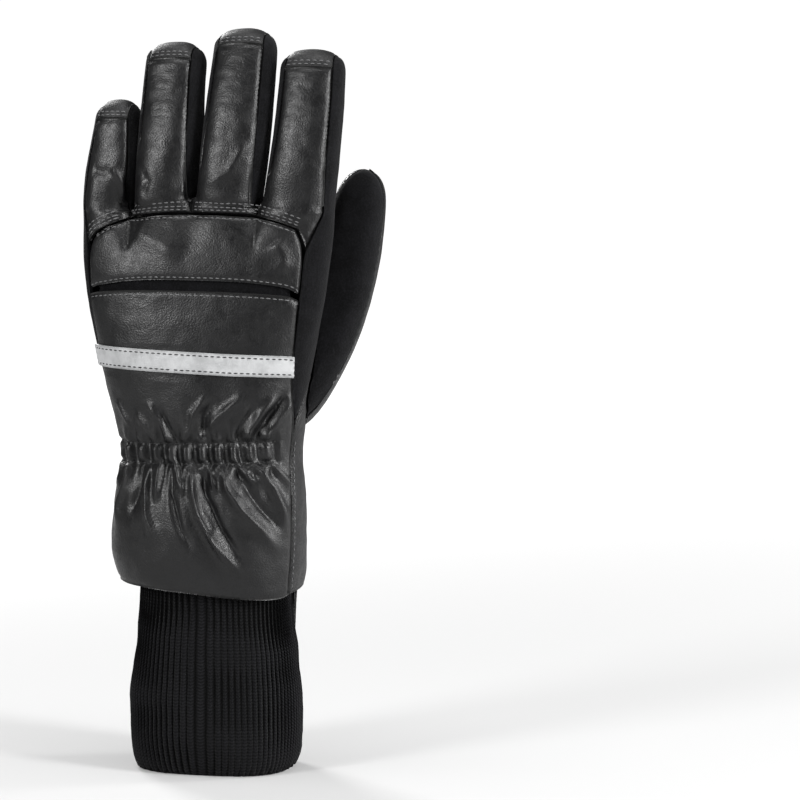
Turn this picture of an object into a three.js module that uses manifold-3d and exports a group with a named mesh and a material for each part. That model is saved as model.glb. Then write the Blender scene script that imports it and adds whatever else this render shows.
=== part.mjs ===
// Left-hand firefighter glove with a knitted cuff: an assembly of sewn leather, suede and knit pieces.
// Millimetres, +Z from the cuff's mouth to the fingertips, +X to the thumb side, back of the hand to -Y.
// The origin is the centre of the cuff's mouth.
import * as THREE from 'three';
import Module from 'manifold-3d';
import { mergeVertices } from 'three/addons/utils/BufferGeometryUtils.js';

// Walls and clearances
const WALL = 2.2;            // leather with its bonded lining
const SEAM_GAP = 0.3;        // between two sewn pieces
const TAPE_WALL = 1.0;
const GUSSET_WALL = 1.5;
const FLAP_WALL = 1.8;
const CUFF_WALL = 3.0;       // two layers of rib knit

// Lengths along the hand
const CUFF_LENGTH = 85.5;    // mouth to the gauntlet's hem
const GAUNTLET_LENGTH = 64;  // hem to the gathers
const PALM_LENGTH = 122;     // gathers to the highest crotch
const FINGER_LENGTH = 78;    // highest crotch to the tip of the longest finger
const THUMB_LENGTH = 131;    // inside the palm to the thumb's tip

// Widths and depths
const CUFF_WIDTH = 84;
const CUFF_DEPTH = 66;
const GAUNTLET_WIDTH = 93;
const GAUNTLET_DEPTH = 72;
const WRIST_WIDTH = 88;
const WRIST_DEPTH = 54;
const PALM_WIDTH = 121;
const PALM_DEPTH = 48;
const FINGER_WIDTH = 33;
const FINGER_DEPTH = 26;
const THUMB_WIDTH = 30;
const THUMB_DEPTH = 29;

// Sewn features
const SLIT_HEIGHT = 3.3;     // flex slit below the knuckles, at its middle
const GUSSET_OVERLAP = 0.4;  // how far the gusset runs on behind the leather, as a share of the next row
const TAPE_HEIGHT = 10.5;
const SHIRRING_PITCH = 9.4;  // between the two elasticated rows
const RUFFLE_HEIGHT = 1.3;
const FLAP_WIDTH = 70;
const FLAP_LENGTH = 63;
const FLAP_TUCK = 5;         // part of the flap behind the palm's hem
const FLAP_LIFT = 1.0;       // between the flap and the ribs
const RIB_PITCH = 2.85;
const RIB_HEIGHT = 0.9;
const CUFF_TUCK = 8;         // part of the cuff inside the gauntlet
const WEB_GAP = 2.0;         // between two fingers' sides at the crotch

// Heights that follow from them
const HEM_Z = CUFF_LENGTH;
const WRIST_Z = HEM_Z + GAUNTLET_LENGTH;
const CROTCH_Z = WRIST_Z + PALM_LENGTH;
const HAND_Y = -0.15 * PALM_DEPTH;   // the hand lies a little to the back of the cuff's axis
const PALM_X = -0.006 * PALM_WIDTH;

const TIP_ROUND = 0.43;      // depth of a fingertip's round, as a share of the finger's depth
const ROUNDNESS = 2.4;       // exponent of the sections: 2 is an ellipse, more is squarer
const DEGREE = Math.PI / 180;
const LANE_COLUMNS = 6;      // facets across a finger
const STRIP_COLUMNS = 4;     // facets across a side strip
const SHARPEST_CORNER = 0.1; // limits how far a pointed end of a piece is drawn in
const FACET_SAG = 0.9;       // how far a facet's middle lies inside the round surface

const { lerp, smoothstep } = THREE.MathUtils;
const vec = (x, y, z) => new THREE.Vector3(x, y, z);

// Sections of the hand from the hem to the crotches, each length a share of the size that it follows
const g = (share) => HEM_Z + share * GAUNTLET_LENGTH;
const p = (share) => WRIST_Z + share * PALM_LENGTH;
const HAND_SECTIONS = [
  // height, width, shares of it to the little side and to the thumb side,
  // depth, shares of it to the back and to the palm, centre y as a share of the hand's
  [g(0.00), GAUNTLET_WIDTH, -0.490, 0.448, GAUNTLET_DEPTH, 0.475, 0.480, 0.00],
  [g(0.13), GAUNTLET_WIDTH, -0.527, 0.462, GAUNTLET_DEPTH, 0.505, 0.500, 0.05],
  [g(0.38), GAUNTLET_WIDTH, -0.530, 0.470, GAUNTLET_DEPTH, 0.500, 0.475, 0.15],
  [g(0.73), GAUNTLET_WIDTH, -0.510, 0.468, GAUNTLET_DEPTH, 0.450, 0.425, 0.35],
  [p(0.00), WRIST_WIDTH, -0.492, 0.482, WRIST_DEPTH, 0.500, 0.490, 0.50],
  [p(0.14), PALM_WIDTH, -0.385, 0.366, PALM_DEPTH, 0.560, 0.530, 0.60],
  [p(0.28), PALM_WIDTH, -0.422, 0.384, PALM_DEPTH, 0.540, 0.520, 0.75],
  [p(0.47), PALM_WIDTH, -0.466, 0.424, PALM_DEPTH, 0.500, 0.480, 0.90],
  [p(0.66), PALM_WIDTH, -0.500, 0.463, PALM_DEPTH, 0.440, 0.430, 1.00],
  [p(0.84), PALM_WIDTH, -0.516, 0.487, PALM_DEPTH, 0.370, 0.365, 1.00],
  [p(1.00), PALM_WIDTH, -0.520, 0.495, PALM_DEPTH, 0.310, 0.310, 1.00],
].map(([z, width, little, thumb, depth, back, palm, shift]) => (
  [z, width * little, width * thumb, depth * back, depth * palm, shift]));

// Angles of the seams round the hand, from the middle of the back: 90 degrees is the hand's edge
const STRIP_END = p(0.16);
const SEAM_ANGLES = [
  // height, little side back, little side palm, thumb side back, thumb side palm
  [g(0.00), 90, 90, 68, 68],
  [STRIP_END, 90, 90, 70, 70],
  [p(0.25), 82, 102, 64, 90],
  [p(0.42), 74, 113, 58, 110],
  [p(0.68), 68, 122, 54, 124],
  [p(1.00), 60, 128, 52, 128],
];
// The outer lanes' columns are spread by angle below the first height and by width above the second
const ROUND_BELOW = p(0.15);
const ROUND_ABOVE = p(0.55);

// Fingers from the little one to the index; lengths are shares of the finger's sizes
const FINGERS = [
  // name, height of the tip above the crotches, width, taper, depth, lean to the thumb side,
  // curl to the palm, roll in degrees, set to the palm
  ['little', 0.567, 0.86, 0.80, 0.93, 0.035, 0.16, -13, 0.10],
  ['ring', 0.911, 0.95, 0.95, 1.00, 0.000, 0.20, -9, 0.02],
  ['middle', 1.000, 0.99, 0.95, 1.03, 0.042, 0.20, -5, 0.00],
  ['index', 0.879, 0.99, 0.97, 1.00, 0.052, 0.16, -2, 0.04],
];
// Crotches and the hand's two edges at their height: place across the palm, drop below the highest crotch,
// and how far in degrees the slot slants to the little side as it comes to the back
const SLOTS = [
  // across, drop, slant
  { across: -0.514, drop: 0.055, slant: 8 },
  { across: -0.280, drop: 0.036, slant: 22 },
  { across: -0.036, drop: 0.000, slant: 16 },
  { across: 0.212, drop: 0.018, slant: 8 },
  { across: 0.501, drop: 0.030, slant: 0 },
];
const FINGER_STATIONS = [1, 0.78, 0.52, 0.28, 0.11, 0];
const TIP_ANGLES = [0, 30, 60, 90, 120, 150, 180];
const CAP_END = 5;           // the cap ends at this one of the tip's angles
const CROTCH_ANGLES = [0, 45, 90, 135, 180];
const WEB_SLOPE = 0.1;       // the web between two fingers lies lower towards the palm
const CROTCH_DEEPENING = 1.1; // a crotch is this much deeper than a half circle
const BORDER_ROOT = 62;      // angle of a finger's seams at the crotch and along the finger
const BORDER_BACK = 46;
const BORDER_PALM = 140;
const OUTER_BORDERS = [53, 128]; // angles of the outer fingers' outer seams at the crotches' height
const ROOT_END = 0.5;        // shares of a finger's length where its root has ended and its tip starts
const TAPER_START = 0.55;

// Seams and rows across the back, from the crotches down: height at the hand's edges, arch at its middle
const slit = SLIT_HEIGHT / PALM_LENGTH;
const tape = TAPE_HEIGHT / PALM_LENGTH;
const shirring = SHIRRING_PITCH / GAUNTLET_LENGTH;
const BACK_ROWS = [
  // place, height at the hand's edges, arch of the back and of the palm, tilt up to the thumb side,
  // panel above the row
  { name: 'arched seam', z: p(0.812), arch: [0.128, 0.04], tilt: 0, above: 'finger_back' },
  { z: p(0.730), arch: [0.082, 0.03], tilt: 0, above: 'knuckle_panel' },
  { name: 'slit top', z: p(0.624), arch: [0.032 + slit, 0.02], tilt: -0.004, above: 'knuckle_panel' },
  { name: 'slit bottom', z: p(0.624 - 0.25 * slit), arch: [0.032, 0.01], tilt: -0.004, above: 'slit' },
  { z: p(0.520), arch: [0.020, 0.01], tilt: -0.008, above: 'hand_back' },
  { name: 'tape top', z: p(0.416), arch: [0.004, 0], tilt: -0.014, above: 'hand_back' },
  { name: 'tape bottom', z: p(0.416 - tape), arch: [0.002, 0], tilt: -0.014, above: 'hand_back' },
  { z: p(0.25), arch: [0.004, 0], tilt: -0.008, above: 'hand_back' },
  { z: p(0.155), arch: [0, 0], tilt: 0, above: 'hand_back' },
  { name: 'shirring', z: WRIST_Z + 0.8 * SHIRRING_PITCH, arch: [0, 0], tilt: 0, above: 'hand_back' },
  { z: WRIST_Z + 0.3 * SHIRRING_PITCH, arch: [0, 0], tilt: 0, above: 'hand_back' },
  { name: 'shirring', z: WRIST_Z - 0.2 * SHIRRING_PITCH, arch: [0, 0], tilt: 0, above: 'hand_back' },
  { z: g(0.96 - shirring), arch: [0, 0], tilt: 0, above: 'hand_back' },
  { z: g(0.58), arch: [0, 0], tilt: 0, above: 'hand_back' },
  { z: g(0.35), arch: [-0.008, 0], tilt: -0.006, above: 'hand_back' },
  { z: g(0.14), arch: [-0.024, 0.014], tilt: -0.012, above: 'hand_back' },
  { name: 'hem', z: g(-0.02), arch: [-0.044, 0.034], tilt: -0.014, above: 'hand_back' },
];
const SLIT_TOP = BACK_ROWS.findIndex((row) => row.name === 'slit top');
const TAPE_TOP = BACK_ROWS.findIndex((row) => row.name === 'tape top');

// Gathers between the elasticated rows, as shares of their pitch and height
const RUFFLE_FADE = 1.6;     // how far the ruffles run on beyond the two rows
const RUFFLE_AT_ROW = 0.45;  // height of a ruffle where an elasticated row holds it
const ROW_DENT = 0.6;        // how deep a row lies
const RUFFLE_ENDS = [0.8, 0.93]; // across the hand, where the ruffles fade

// Folds of the leather: a ridge or a dent from one place to the other,
// across as a share of the local half width
const FOLDS = [
  // side, from across, height, to across, height, width and height as shares of the wall
  { side: 'back', from: [0.34, g(0.86)], to: [0.66, g(0.12)], width: 2.2, height: 0.75 },
  { side: 'back', from: [0.00, g(0.84)], to: [0.40, g(0.05)], width: 2.4, height: -0.80 },
  { side: 'back', from: [0.62, g(0.82)], to: [0.86, g(0.45)], width: 2.0, height: -0.60 },
  { side: 'back', from: [-0.45, g(0.85)], to: [-0.55, g(0.30)], width: 2.4, height: -0.50 },
  { side: 'back', from: [-0.20, g(0.85)], to: [-0.05, g(0.35)], width: 2.2, height: 0.55 },
  { side: 'back', from: [-0.30, p(0.10)], to: [0.05, p(0.26)], width: 2.0, height: 0.45 },
  { side: 'back', from: [0.30, p(0.10)], to: [0.62, p(0.28)], width: 2.0, height: 0.50 },
  { side: 'back', from: [0.05, p(0.10)], to: [0.35, p(0.30)], width: 2.0, height: -0.50 },
  { side: 'back', from: [-0.80, p(0.12)], to: [-0.60, p(0.25)], width: 2.2, height: -0.45 },
  { side: 'palm', from: [-0.95, p(0.92)], to: [0.10, p(0.56)], width: 3.2, height: 0.75 },
  { side: 'palm', from: [-0.95, p(0.74)], to: [0.10, p(0.38)], width: 3.0, height: -0.85 },
  { side: 'palm', from: [-0.95, p(0.60)], to: [0.05, p(0.22)], width: 2.8, height: 0.55 },
  { side: 'palm', from: [-0.60, p(0.30)], to: [0.35, p(0.12)], width: 2.6, height: -0.50 },
  { side: 'palm', from: [0.20, p(0.10)], to: [-0.65, g(0.60)], width: 3.0, height: 0.85 },
  { side: 'palm', from: [0.45, g(0.90)], to: [-0.40, g(0.45)], width: 2.8, height: -0.60 },
  { side: 'palm', from: [-0.10, p(0.97)], to: [0.55, p(0.80)], width: 2.4, height: -0.60 },
];

// Thumb: places of its spine, half width and depth, and the angles of its three seams
const THUMB_BASE = vec(0.165 * PALM_WIDTH, 0.02 * PALM_DEPTH, p(0.09));
const THUMB_STATIONS = [
  // along, out to the thumb side, to the palm, up, half width, half depth,
  // angles of the seams back-front, front-inner and inner-back
  [0.00, 0.000, 0.000, 0.000, 0.00, 0.00, 84, 250, 300],
  [0.03, 0.012, 0.015, 0.020, 0.70, 0.62, 84, 250, 300],
  [0.09, 0.040, 0.040, 0.065, 1.06, 0.92, 84, 248, 300],
  [0.18, 0.090, 0.085, 0.140, 1.28, 1.10, 84, 244, 300],
  [0.30, 0.155, 0.130, 0.255, 1.27, 1.14, 84, 236, 300],
  [0.42, 0.218, 0.160, 0.370, 1.14, 1.08, 84, 226, 300],
  [0.54, 0.266, 0.180, 0.490, 1.03, 1.03, 84, 214, 300],
  [0.66, 0.297, 0.192, 0.610, 0.97, 1.00, 84, 202, 300],
  [0.77, 0.316, 0.200, 0.720, 0.94, 0.96, 84, 190, 300],
  [0.87, 0.336, 0.205, 0.820, 0.84, 0.86, 84, 178, 300],
  [0.94, 0.352, 0.208, 0.884, 0.66, 0.66, 84, 168, 300],
  [0.98, 0.361, 0.209, 0.918, 0.38, 0.36, 84, 160, 300],
  [1.00, 0.365, 0.210, 0.932, 0.00, 0.00, 84, 160, 300],
];
const THUMB_PANELS = [
  { name: 'thumb_front', columns: 6 },
  { name: 'thumb_inner', columns: 4 },
  { name: 'thumb_back', columns: 6 },
];

// Cuff: height, half width and half depth as shares of its own sizes
const CUFF_SECTIONS = [
  // height, width, depth
  [0.000, 0.425, 0.415],
  [0.035, 0.455, 0.450],
  [0.120, 0.486, 0.488],
  [0.300, 0.500, 0.500],
  [0.520, 0.486, 0.488],
  [0.760, 0.440, 0.450],
  [0.900, 0.425, 0.430],
];
const OUTER_LEVELS = [0.87, 0.5, 0.12, 0.015]; // heights of the facets' ends, as shares of the cuff's length
const INNER_LEVELS = [0.3, 0.7];
const INNER_TO_OUTER = 4;    // facets of the ribbed outside for one of the smooth inside

// Wrist flap
const FLAP_ROUNDING = 0.46;  // how much shorter the flap is at its sides
const FLAP_SQUARENESS = 3.6; // exponent of its lower edge
const FLAP_TAPER = 0.12;

const LEATHER = { color: 0x2a2a2b, roughness: 0.42, metalness: 0 };
const CAP_LEATHER = { color: 0x303031, roughness: 0.6, metalness: 0 };
const DOTTED_LEATHER = { color: 0x3c3c3d, roughness: 0.7, metalness: 0 };
const SUEDE = { color: 0x121213, roughness: 0.95, metalness: 0 };
const KNIT = { color: 0x17171a, roughness: 0.9, metalness: 0 };
const TAPE = { color: 0xd9dadb, roughness: 0.35, metalness: 0.1 };

// A smooth curve through the rows of a table: column values at a height
function tableAt(table, height, column) {
  const last = table.length - 1;
  if (height <= table[0][0]) return table[0][column];
  if (height >= table[last][0]) return table[last][column];
  const k = table.findIndex((row) => row[0] > height) - 1;
  const slope = (i) => {
    const before = table[Math.max(i - 1, 0)];
    const after = table[Math.min(i + 1, last)];
    return (after[column] - before[column]) / (after[0] - before[0]);
  };
  const span = table[k + 1][0] - table[k][0];
  const t = (height - table[k][0]) / span;
  const t2 = t * t;
  const t3 = t2 * t;
  return (2 * t3 - 3 * t2 + 1) * table[k][column] + (t3 - 2 * t2 + t) * span * slope(k)
    + (3 * t2 - 2 * t3) * table[k + 1][column] + (t3 - t2) * span * slope(k + 1);
}

// A rounded section: how far out to the side and to the back or palm at an angle from the back
const bulge = (value) => Math.sign(value) * Math.abs(value) ** (2 / ROUNDNESS);
const side = (angle) => bulge(Math.sin(angle * DEGREE));
const deep = (angle) => -bulge(Math.cos(angle * DEGREE));
const angleOf = (across) => {
  const sine = Math.min(Math.abs(across), 1) ** (ROUNDNESS / 2);
  return Math.sign(across) * Math.asin(sine) / DEGREE;
};
const deepAt = (across) => Math.max(0, 1 - Math.abs(across) ** ROUNDNESS) ** (1 / ROUNDNESS);

// A surface of triangles, each marked with the panel it belongs to; corners are shared where the points are
class Surface {
  constructor() {
    this.points = [];
    this.ids = new Map();
    this.faces = [];
  }

  id(point) {
    if (!this.ids.has(point)) {
      this.ids.set(point, this.points.length);
      this.points.push(point);
    }
    return this.ids.get(point);
  }

  triangle(panel, ...corners) {
    const ids = corners.map((point) => this.id(point));
    if (new Set(ids).size === 3) this.faces.push({ panel, ids });
  }

  // Facets between an upper and a lower row of points, both from left to right as seen from outside
  rows(panel, upper, lower) {
    for (let k = 0; k + 1 < upper.length; k++) {
      const [a, b, c, d] = [upper[k], lower[k], lower[k + 1], upper[k + 1]];
      if (a.distanceToSquared(c) <= b.distanceToSquared(d)) {
        this.triangle(panel, a, b, c);
        this.triangle(panel, a, c, d);
      } else {
        this.triangle(panel, a, b, d);
        this.triangle(panel, b, c, d);
      }
    }
  }

  normals() {
    const sums = this.points.map(() => vec(0, 0, 0));
    for (const { ids } of this.faces) {
      for (let k = 0; k < 3; k++) {
        const [here, next, last] = [0, 1, 2].map((step) => this.points[ids[(k + step) % 3]]);
        const toNext = next.clone().sub(here);
        const toLast = last.clone().sub(here);
        const angle = toNext.angleTo(toLast);
        sums[ids[k]].addScaledVector(toNext.cross(toLast).normalize(), angle);
      }
    }
    return sums.map((sum) => sum.normalize());
  }
}

// The closed solid between two offsets of some of a surface's facets, drawn in from its edges
function shell(surface, faces, normals, outer, inner, inset) {
  const key = (a, b) => `${a} ${b}`;
  const edges = new Set();
  for (const { ids } of faces) ids.forEach((id, k) => edges.add(key(id, ids[(k + 1) % 3])));
  const borders = [];
  for (const { ids } of faces) {
    ids.forEach((id, k) => {
      const next = ids[(k + 1) % 3];
      if (!edges.has(key(next, id))) borders.push([id, next]);
    });
  }
  const draws = new Map();
  for (const [a, b] of borders) {
    const along = surface.points[b].clone().sub(surface.points[a]);
    for (const id of [a, b]) {
      const inward = normals[id].clone().cross(along).normalize();
      draws.set(id, [...(draws.get(id) ?? []), inward]);
    }
  }
  const place = (id, offset) => {
    const point = surface.points[id].clone().addScaledVector(normals[id], offset);
    const inwards = draws.get(id);
    if (!inwards) return point;
    const sum = inwards.reduce((total, inward) => total.add(inward), vec(0, 0, 0));
    return point.addScaledVector(sum, 2 * inset / Math.max(sum.lengthSq(), SHARPEST_CORNER));
  };
  const used = [...new Set(faces.flatMap(({ ids }) => ids))];
  const places = new Map(used.map((id, k) => [id, k]));
  const positions = [
    ...used.map((id) => place(id, outer)),
    ...used.map((id) => place(id, inner)),
  ];
  const triangles = [];
  for (const { ids } of faces) {
    const [a, b, c] = ids.map((id) => places.get(id));
    triangles.push(a, b, c, c + used.length, b + used.length, a + used.length);
  }
  // Both pieces at a seam split its wall along the same diagonal
  for (const [from, to] of borders) {
    const [a, b] = [places.get(from), places.get(to)];
    const [c, d] = [a + used.length, b + used.length];
    if (from < to) triangles.push(b, a, c, b, c, d);
    else triangles.push(b, a, d, a, c, d);
  }
  return geometry(positions, triangles);
}

function geometry(points, triangles) {
  const made = new THREE.BufferGeometry();
  const values = points.flatMap((q) => [q.x, q.y, q.z]);
  made.setAttribute('position', new THREE.Float32BufferAttribute(values, 3));
  made.setIndex(triangles);
  return made;
}

// Crotch height and place of each slot, and each finger's root between its two slots
const slots = SLOTS.map(({ across, drop, slant }) => ({
  x: PALM_X + across * PALM_WIDTH,
  z: CROTCH_Z - drop * PALM_LENGTH,
  slant: Math.tan(slant * DEGREE),
}));
const fingers = FINGERS.map(([name, height, width, taper, depth, lean, curl, roll, set], i) => {
  const [left, right] = [slots[i], slots[i + 1]];
  const tipDepth = TIP_ROUND * depth * FINGER_DEPTH;
  return {
    name,
    x: (left.x + right.x) / 2,
    y: HAND_Y + set * PALM_DEPTH,
    z: (left.z + right.z) / 2,
    tilt: (right.z - left.z) / 2,
    rise: CROTCH_Z + height * FINGER_LENGTH - tipDepth - (left.z + right.z) / 2,
    lean: lean * FINGER_LENGTH,
    curl: curl * FINGER_LENGTH * height ** 2,
    slants: [left.slant, right.slant],
    roll: roll * DEGREE,
    rootWidth: (right.x - left.x - WEB_GAP) / 2,
    width: width * FINGER_WIDTH / 2,
    taper,
    rootDepth: depth * FINGER_DEPTH / 2,
    tipDepth,
  };
});

// Centre, directions and half sizes of a finger's section:
// height is 0 at the crotch and 1 where the tip's round starts
function fingerFrame(finger, height) {
  const bend = Math.sin(height * Math.PI / 2);
  const centre = vec(
    finger.x + finger.lean * bend,
    finger.y + finger.curl * height ** 2,
    finger.z + finger.rise * height,
  );
  const along = vec(
    finger.lean * Math.cos(height * Math.PI / 2) * Math.PI / 2,
    2 * finger.curl * height,
    finger.rise,
  ).normalize();
  const risen = smoothstep(height, 0, ROOT_END);
  const across = vec(along.z, 0, -along.x).normalize().applyAxisAngle(along, finger.roll * risen);
  const palmward = along.clone().cross(across);
  const grown = smoothstep(height, 0, 0.4);
  const shrunk = smoothstep(height, TAPER_START, 1);
  return {
    centre, along, across, palmward,
    width: lerp(finger.rootWidth, finger.width, grown) * lerp(1, finger.taper, shrunk),
    depth: lerp(finger.rootDepth, finger.tipDepth, smoothstep(height, 0.2, 1)),
    tilt: finger.tilt * (1 - height),
    slope: WEB_SLOPE * (1 - risen),
    slants: finger.slants.map((slant) => slant * (1 - risen)),
  };
}

function fingerPoint(frame, across, deepness) {
  const slant = lerp(...frame.slants, (across + 1) / 2);
  return frame.centre.clone()
    .addScaledVector(frame.across, across * frame.width)
    .addScaledVector(frame.palmward, deepness * frame.depth)
    .add(vec(slant * deepness * frame.depth, 0, frame.tilt * across - frame.slope * deepness * frame.depth));
}

// A finger's section as four runs of points: back, thumb side, palm, little side,
// each starting where the last ends
function fingerRing(i, height) {
  const frame = fingerFrame(fingers[i], height);
  const free = [i === 0, i === fingers.length - 1];
  const settled = smoothstep(height, 0, 0.4);
  const backs = free.map((outer) => lerp(outer ? OUTER_BORDERS[0] : BORDER_ROOT, BORDER_BACK, settled));
  const palms = free.map((outer) => (
    lerp(outer ? OUTER_BORDERS[1] : 180 - BORDER_ROOT, BORDER_PALM, settled)));
  const at = (angle) => fingerPoint(frame, side(angle), deep(angle));
  const right = run(STRIP_COLUMNS, (t) => at(lerp(backs[1], palms[1], t)));
  const left = run(STRIP_COLUMNS, (t) => at(-lerp(palms[0], backs[0], t)));
  const lane = (from, to, start, end, sign) => run(LANE_COLUMNS, (t) => {
    const across = lerp(side(from), side(to), t);
    return fingerPoint(frame, across, sign * deepAt(across));
  }, start, end);
  const back = lane(-backs[0], backs[1], left[STRIP_COLUMNS], right[0], -1);
  const palm = lane(palms[1], -palms[0], right[STRIP_COLUMNS], left[0], 1);
  return { frame, backs, palms, back, right, palm, left };
}

// count + 1 points from a function of 0 to 1, whose first and last may be points that exist already
function run(count, at, first, last) {
  const points = [];
  for (let k = 0; k <= count; k++) {
    if (k === 0 && first) points.push(first);
    else if (k === count && last) points.push(last);
    else points.push(at(k / count));
  }
  return points;
}

const sideName = (i, right) => {
  const j = right ? i + 1 : i;
  if (j === 0) return 'side_strip_little';
  if (j === fingers.length) return 'side_strip_index';
  return `fourchette_${fingers[j - 1].name}_${fingers[j].name}`;
};

// The round tip: the last section's half turned over from the back to the palm
function addTip(surface, i, ring) {
  const { frame, backs, palms } = ring;
  const last = TIP_ANGLES.length - 1;
  const tipPoint = (across, turn) => {
    const radius = deepAt(across) * frame.depth;
    return frame.centre.clone()
      .addScaledVector(frame.across, across * frame.width)
      .addScaledVector(frame.palmward, -Math.cos(turn * DEGREE) * radius)
      .addScaledVector(frame.along, Math.sin(turn * DEGREE) * radius);
  };
  const arc = (which, sign, strip) => (q) => TIP_ANGLES.map((turn, k) => {
    if (k === 0) return strip[sign > 0 ? q : STRIP_COLUMNS - q];
    if (k === last) return strip[sign > 0 ? STRIP_COLUMNS - q : q];
    const from = lerp(backs[which], palms[which], q / STRIP_COLUMNS);
    const to = 180 - lerp(palms[which], backs[which], q / STRIP_COLUMNS);
    return tipPoint(sign * side(lerp(from, to, turn / 180)), turn);
  });
  const half = STRIP_COLUMNS / 2;
  const rightArcs = run(half - 1, (t) => arc(1, 1, ring.right)(Math.round(t * (half - 1))));
  const leftArcs = run(half - 1, (t) => arc(0, -1, ring.left)(Math.round(t * (half - 1))));
  const lanes = TIP_ANGLES.map((turn, k) => {
    if (k === 0) return ring.back;
    if (k === last) return [...ring.palm].reverse();
    const leftSide = -side(lerp(backs[0], 180 - palms[0], turn / 180));
    const rightSide = side(lerp(backs[1], 180 - palms[1], turn / 180));
    const at = (t) => tipPoint(lerp(leftSide, rightSide, t), turn);
    return run(LANE_COLUMNS, at, leftArcs[0][k], rightArcs[0][k]);
  });
  for (let k = 0; k < last; k++) {
    const panel = k < CAP_END ? `finger_cap_${fingers[i].name}` : 'palm_panel';
    surface.rows(panel, lanes[k + 1], lanes[k]);
  }
  const pole = (strip) => TIP_ANGLES.map(() => strip[half]);
  [...rightArcs, pole(ring.right)].reduce((upper, lower) => {
    surface.rows(sideName(i, true), upper, lower);
    return lower;
  });
  [...leftArcs, pole(ring.left)].reduce((upper, lower) => {
    surface.rows(sideName(i, false), [...upper].reverse(), [...lower].reverse());
    return lower;
  });
}

// The crotch: a half turn from the thumb side of one finger to the little side of the next
function addCrotch(surface, j, leftRing, rightRing) {
  const from = leftRing.right;
  const to = [...rightRing.left].reverse();
  const last = CROTCH_ANGLES.length - 1;
  const rows = CROTCH_ANGLES.map((turn, k) => {
    if (k === 0) return from;
    if (k === last) return to;
    return from.map((start, q) => {
      const half = to[q].clone().sub(start).multiplyScalar(0.5);
      const centre = start.clone().add(half);
      const radius = half.length();
      return centre.addScaledVector(half, -Math.cos(turn * DEGREE))
        .add(vec(0, 0, -CROTCH_DEEPENING * radius * Math.sin(turn * DEGREE)));
    });
  });
  for (let k = 0; k < last; k++) surface.rows(sideName(j, false), rows[k], rows[k + 1]);
  return rows;
}

// The hand's section at a height
function handSection(z) {
  const columns = [1, 2, 3, 4, 5];
  const [little, thumb, back, palm, shift] = columns.map((column) => tableAt(HAND_SECTIONS, z, column));
  return { x: (little + thumb) / 2, width: (thumb - little) / 2, back, palm, y: shift * HAND_Y };
}

const handPoint = (x, z, sign) => {
  const section = handSection(z);
  const across = (x - section.x) / section.width;
  return vec(x, section.y + sign * deepAt(across) * (sign < 0 ? section.back : section.palm), z);
};

const handEdge = (z, angle) => {
  const section = handSection(z);
  const depth = Math.abs(angle) < 90 ? section.back : section.palm;
  return vec(section.x + side(angle) * section.width, section.y + deep(angle) * depth, z);
};

const shareAt = (point) => {
  const section = handSection(point.z);
  return (point.x - section.x) / section.width;
};

// Heights of a row across the hand: edges, arch of the back or the palm, and tilt
const rowHeight = (row, across, sign) => row.z + row.tilt * PALM_LENGTH * across
  + row.arch[sign < 0 ? 0 : 1] * PALM_LENGTH * (1 - Math.abs(across) ** 3);

// Lobes: the depth of a row below the crotches follows the fingers and fades into the hand
const LOBE_FADE = { back: 0.13 * PALM_LENGTH, palm: 0.25 * PALM_LENGTH };
function lobeDepth(i, t, start, end, sign) {
  const finger = fingers[i];
  const edge = side(BORDER_ROOT);
  const depth = (u) => finger.y + sign * finger.rootDepth * deepAt(lerp(-edge, edge, u));
  return depth(t) + lerp(start.y - depth(0), end.y - depth(1), t);
}

function laneRow(i, start, end, sign) {
  return run(LANE_COLUMNS, (t) => {
    const point = start.clone().lerp(end, t);
    const u = sign < 0 ? t : 1 - t;
    point.y = lobeDepth(i, u, sign < 0 ? start : end, sign < 0 ? end : start, sign);
    return point;
  }, start, end);
}

// A side strip's section on the hand near the crotch, blended from the finger to the hand
function outerStrip(ring, right, drop, weight) {
  const points = right ? ring.right : ring.left;
  return points.map((point) => {
    const z = point.z - drop;
    const share = points.indexOf(point) / STRIP_COLUMNS;
    const [back, palm] = seamAngles(z, right);
    const angle = right ? lerp(back, palm, share) : -lerp(palm, back, share);
    const hand = handEdge(z, angle);
    return vec(lerp(hand.x, point.x, weight), lerp(hand.y, point.y, weight), z);
  });
}

// Below the side strip's end the back and the palm meet in one seam
function seamAngles(z, right) {
  const [back, palm] = right ? [3, 4] : [1, 2];
  const angle = tableAt(SEAM_ANGLES, z, back);
  return [angle, z <= STRIP_END ? angle : tableAt(SEAM_ANGLES, z, palm)];
}

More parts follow.
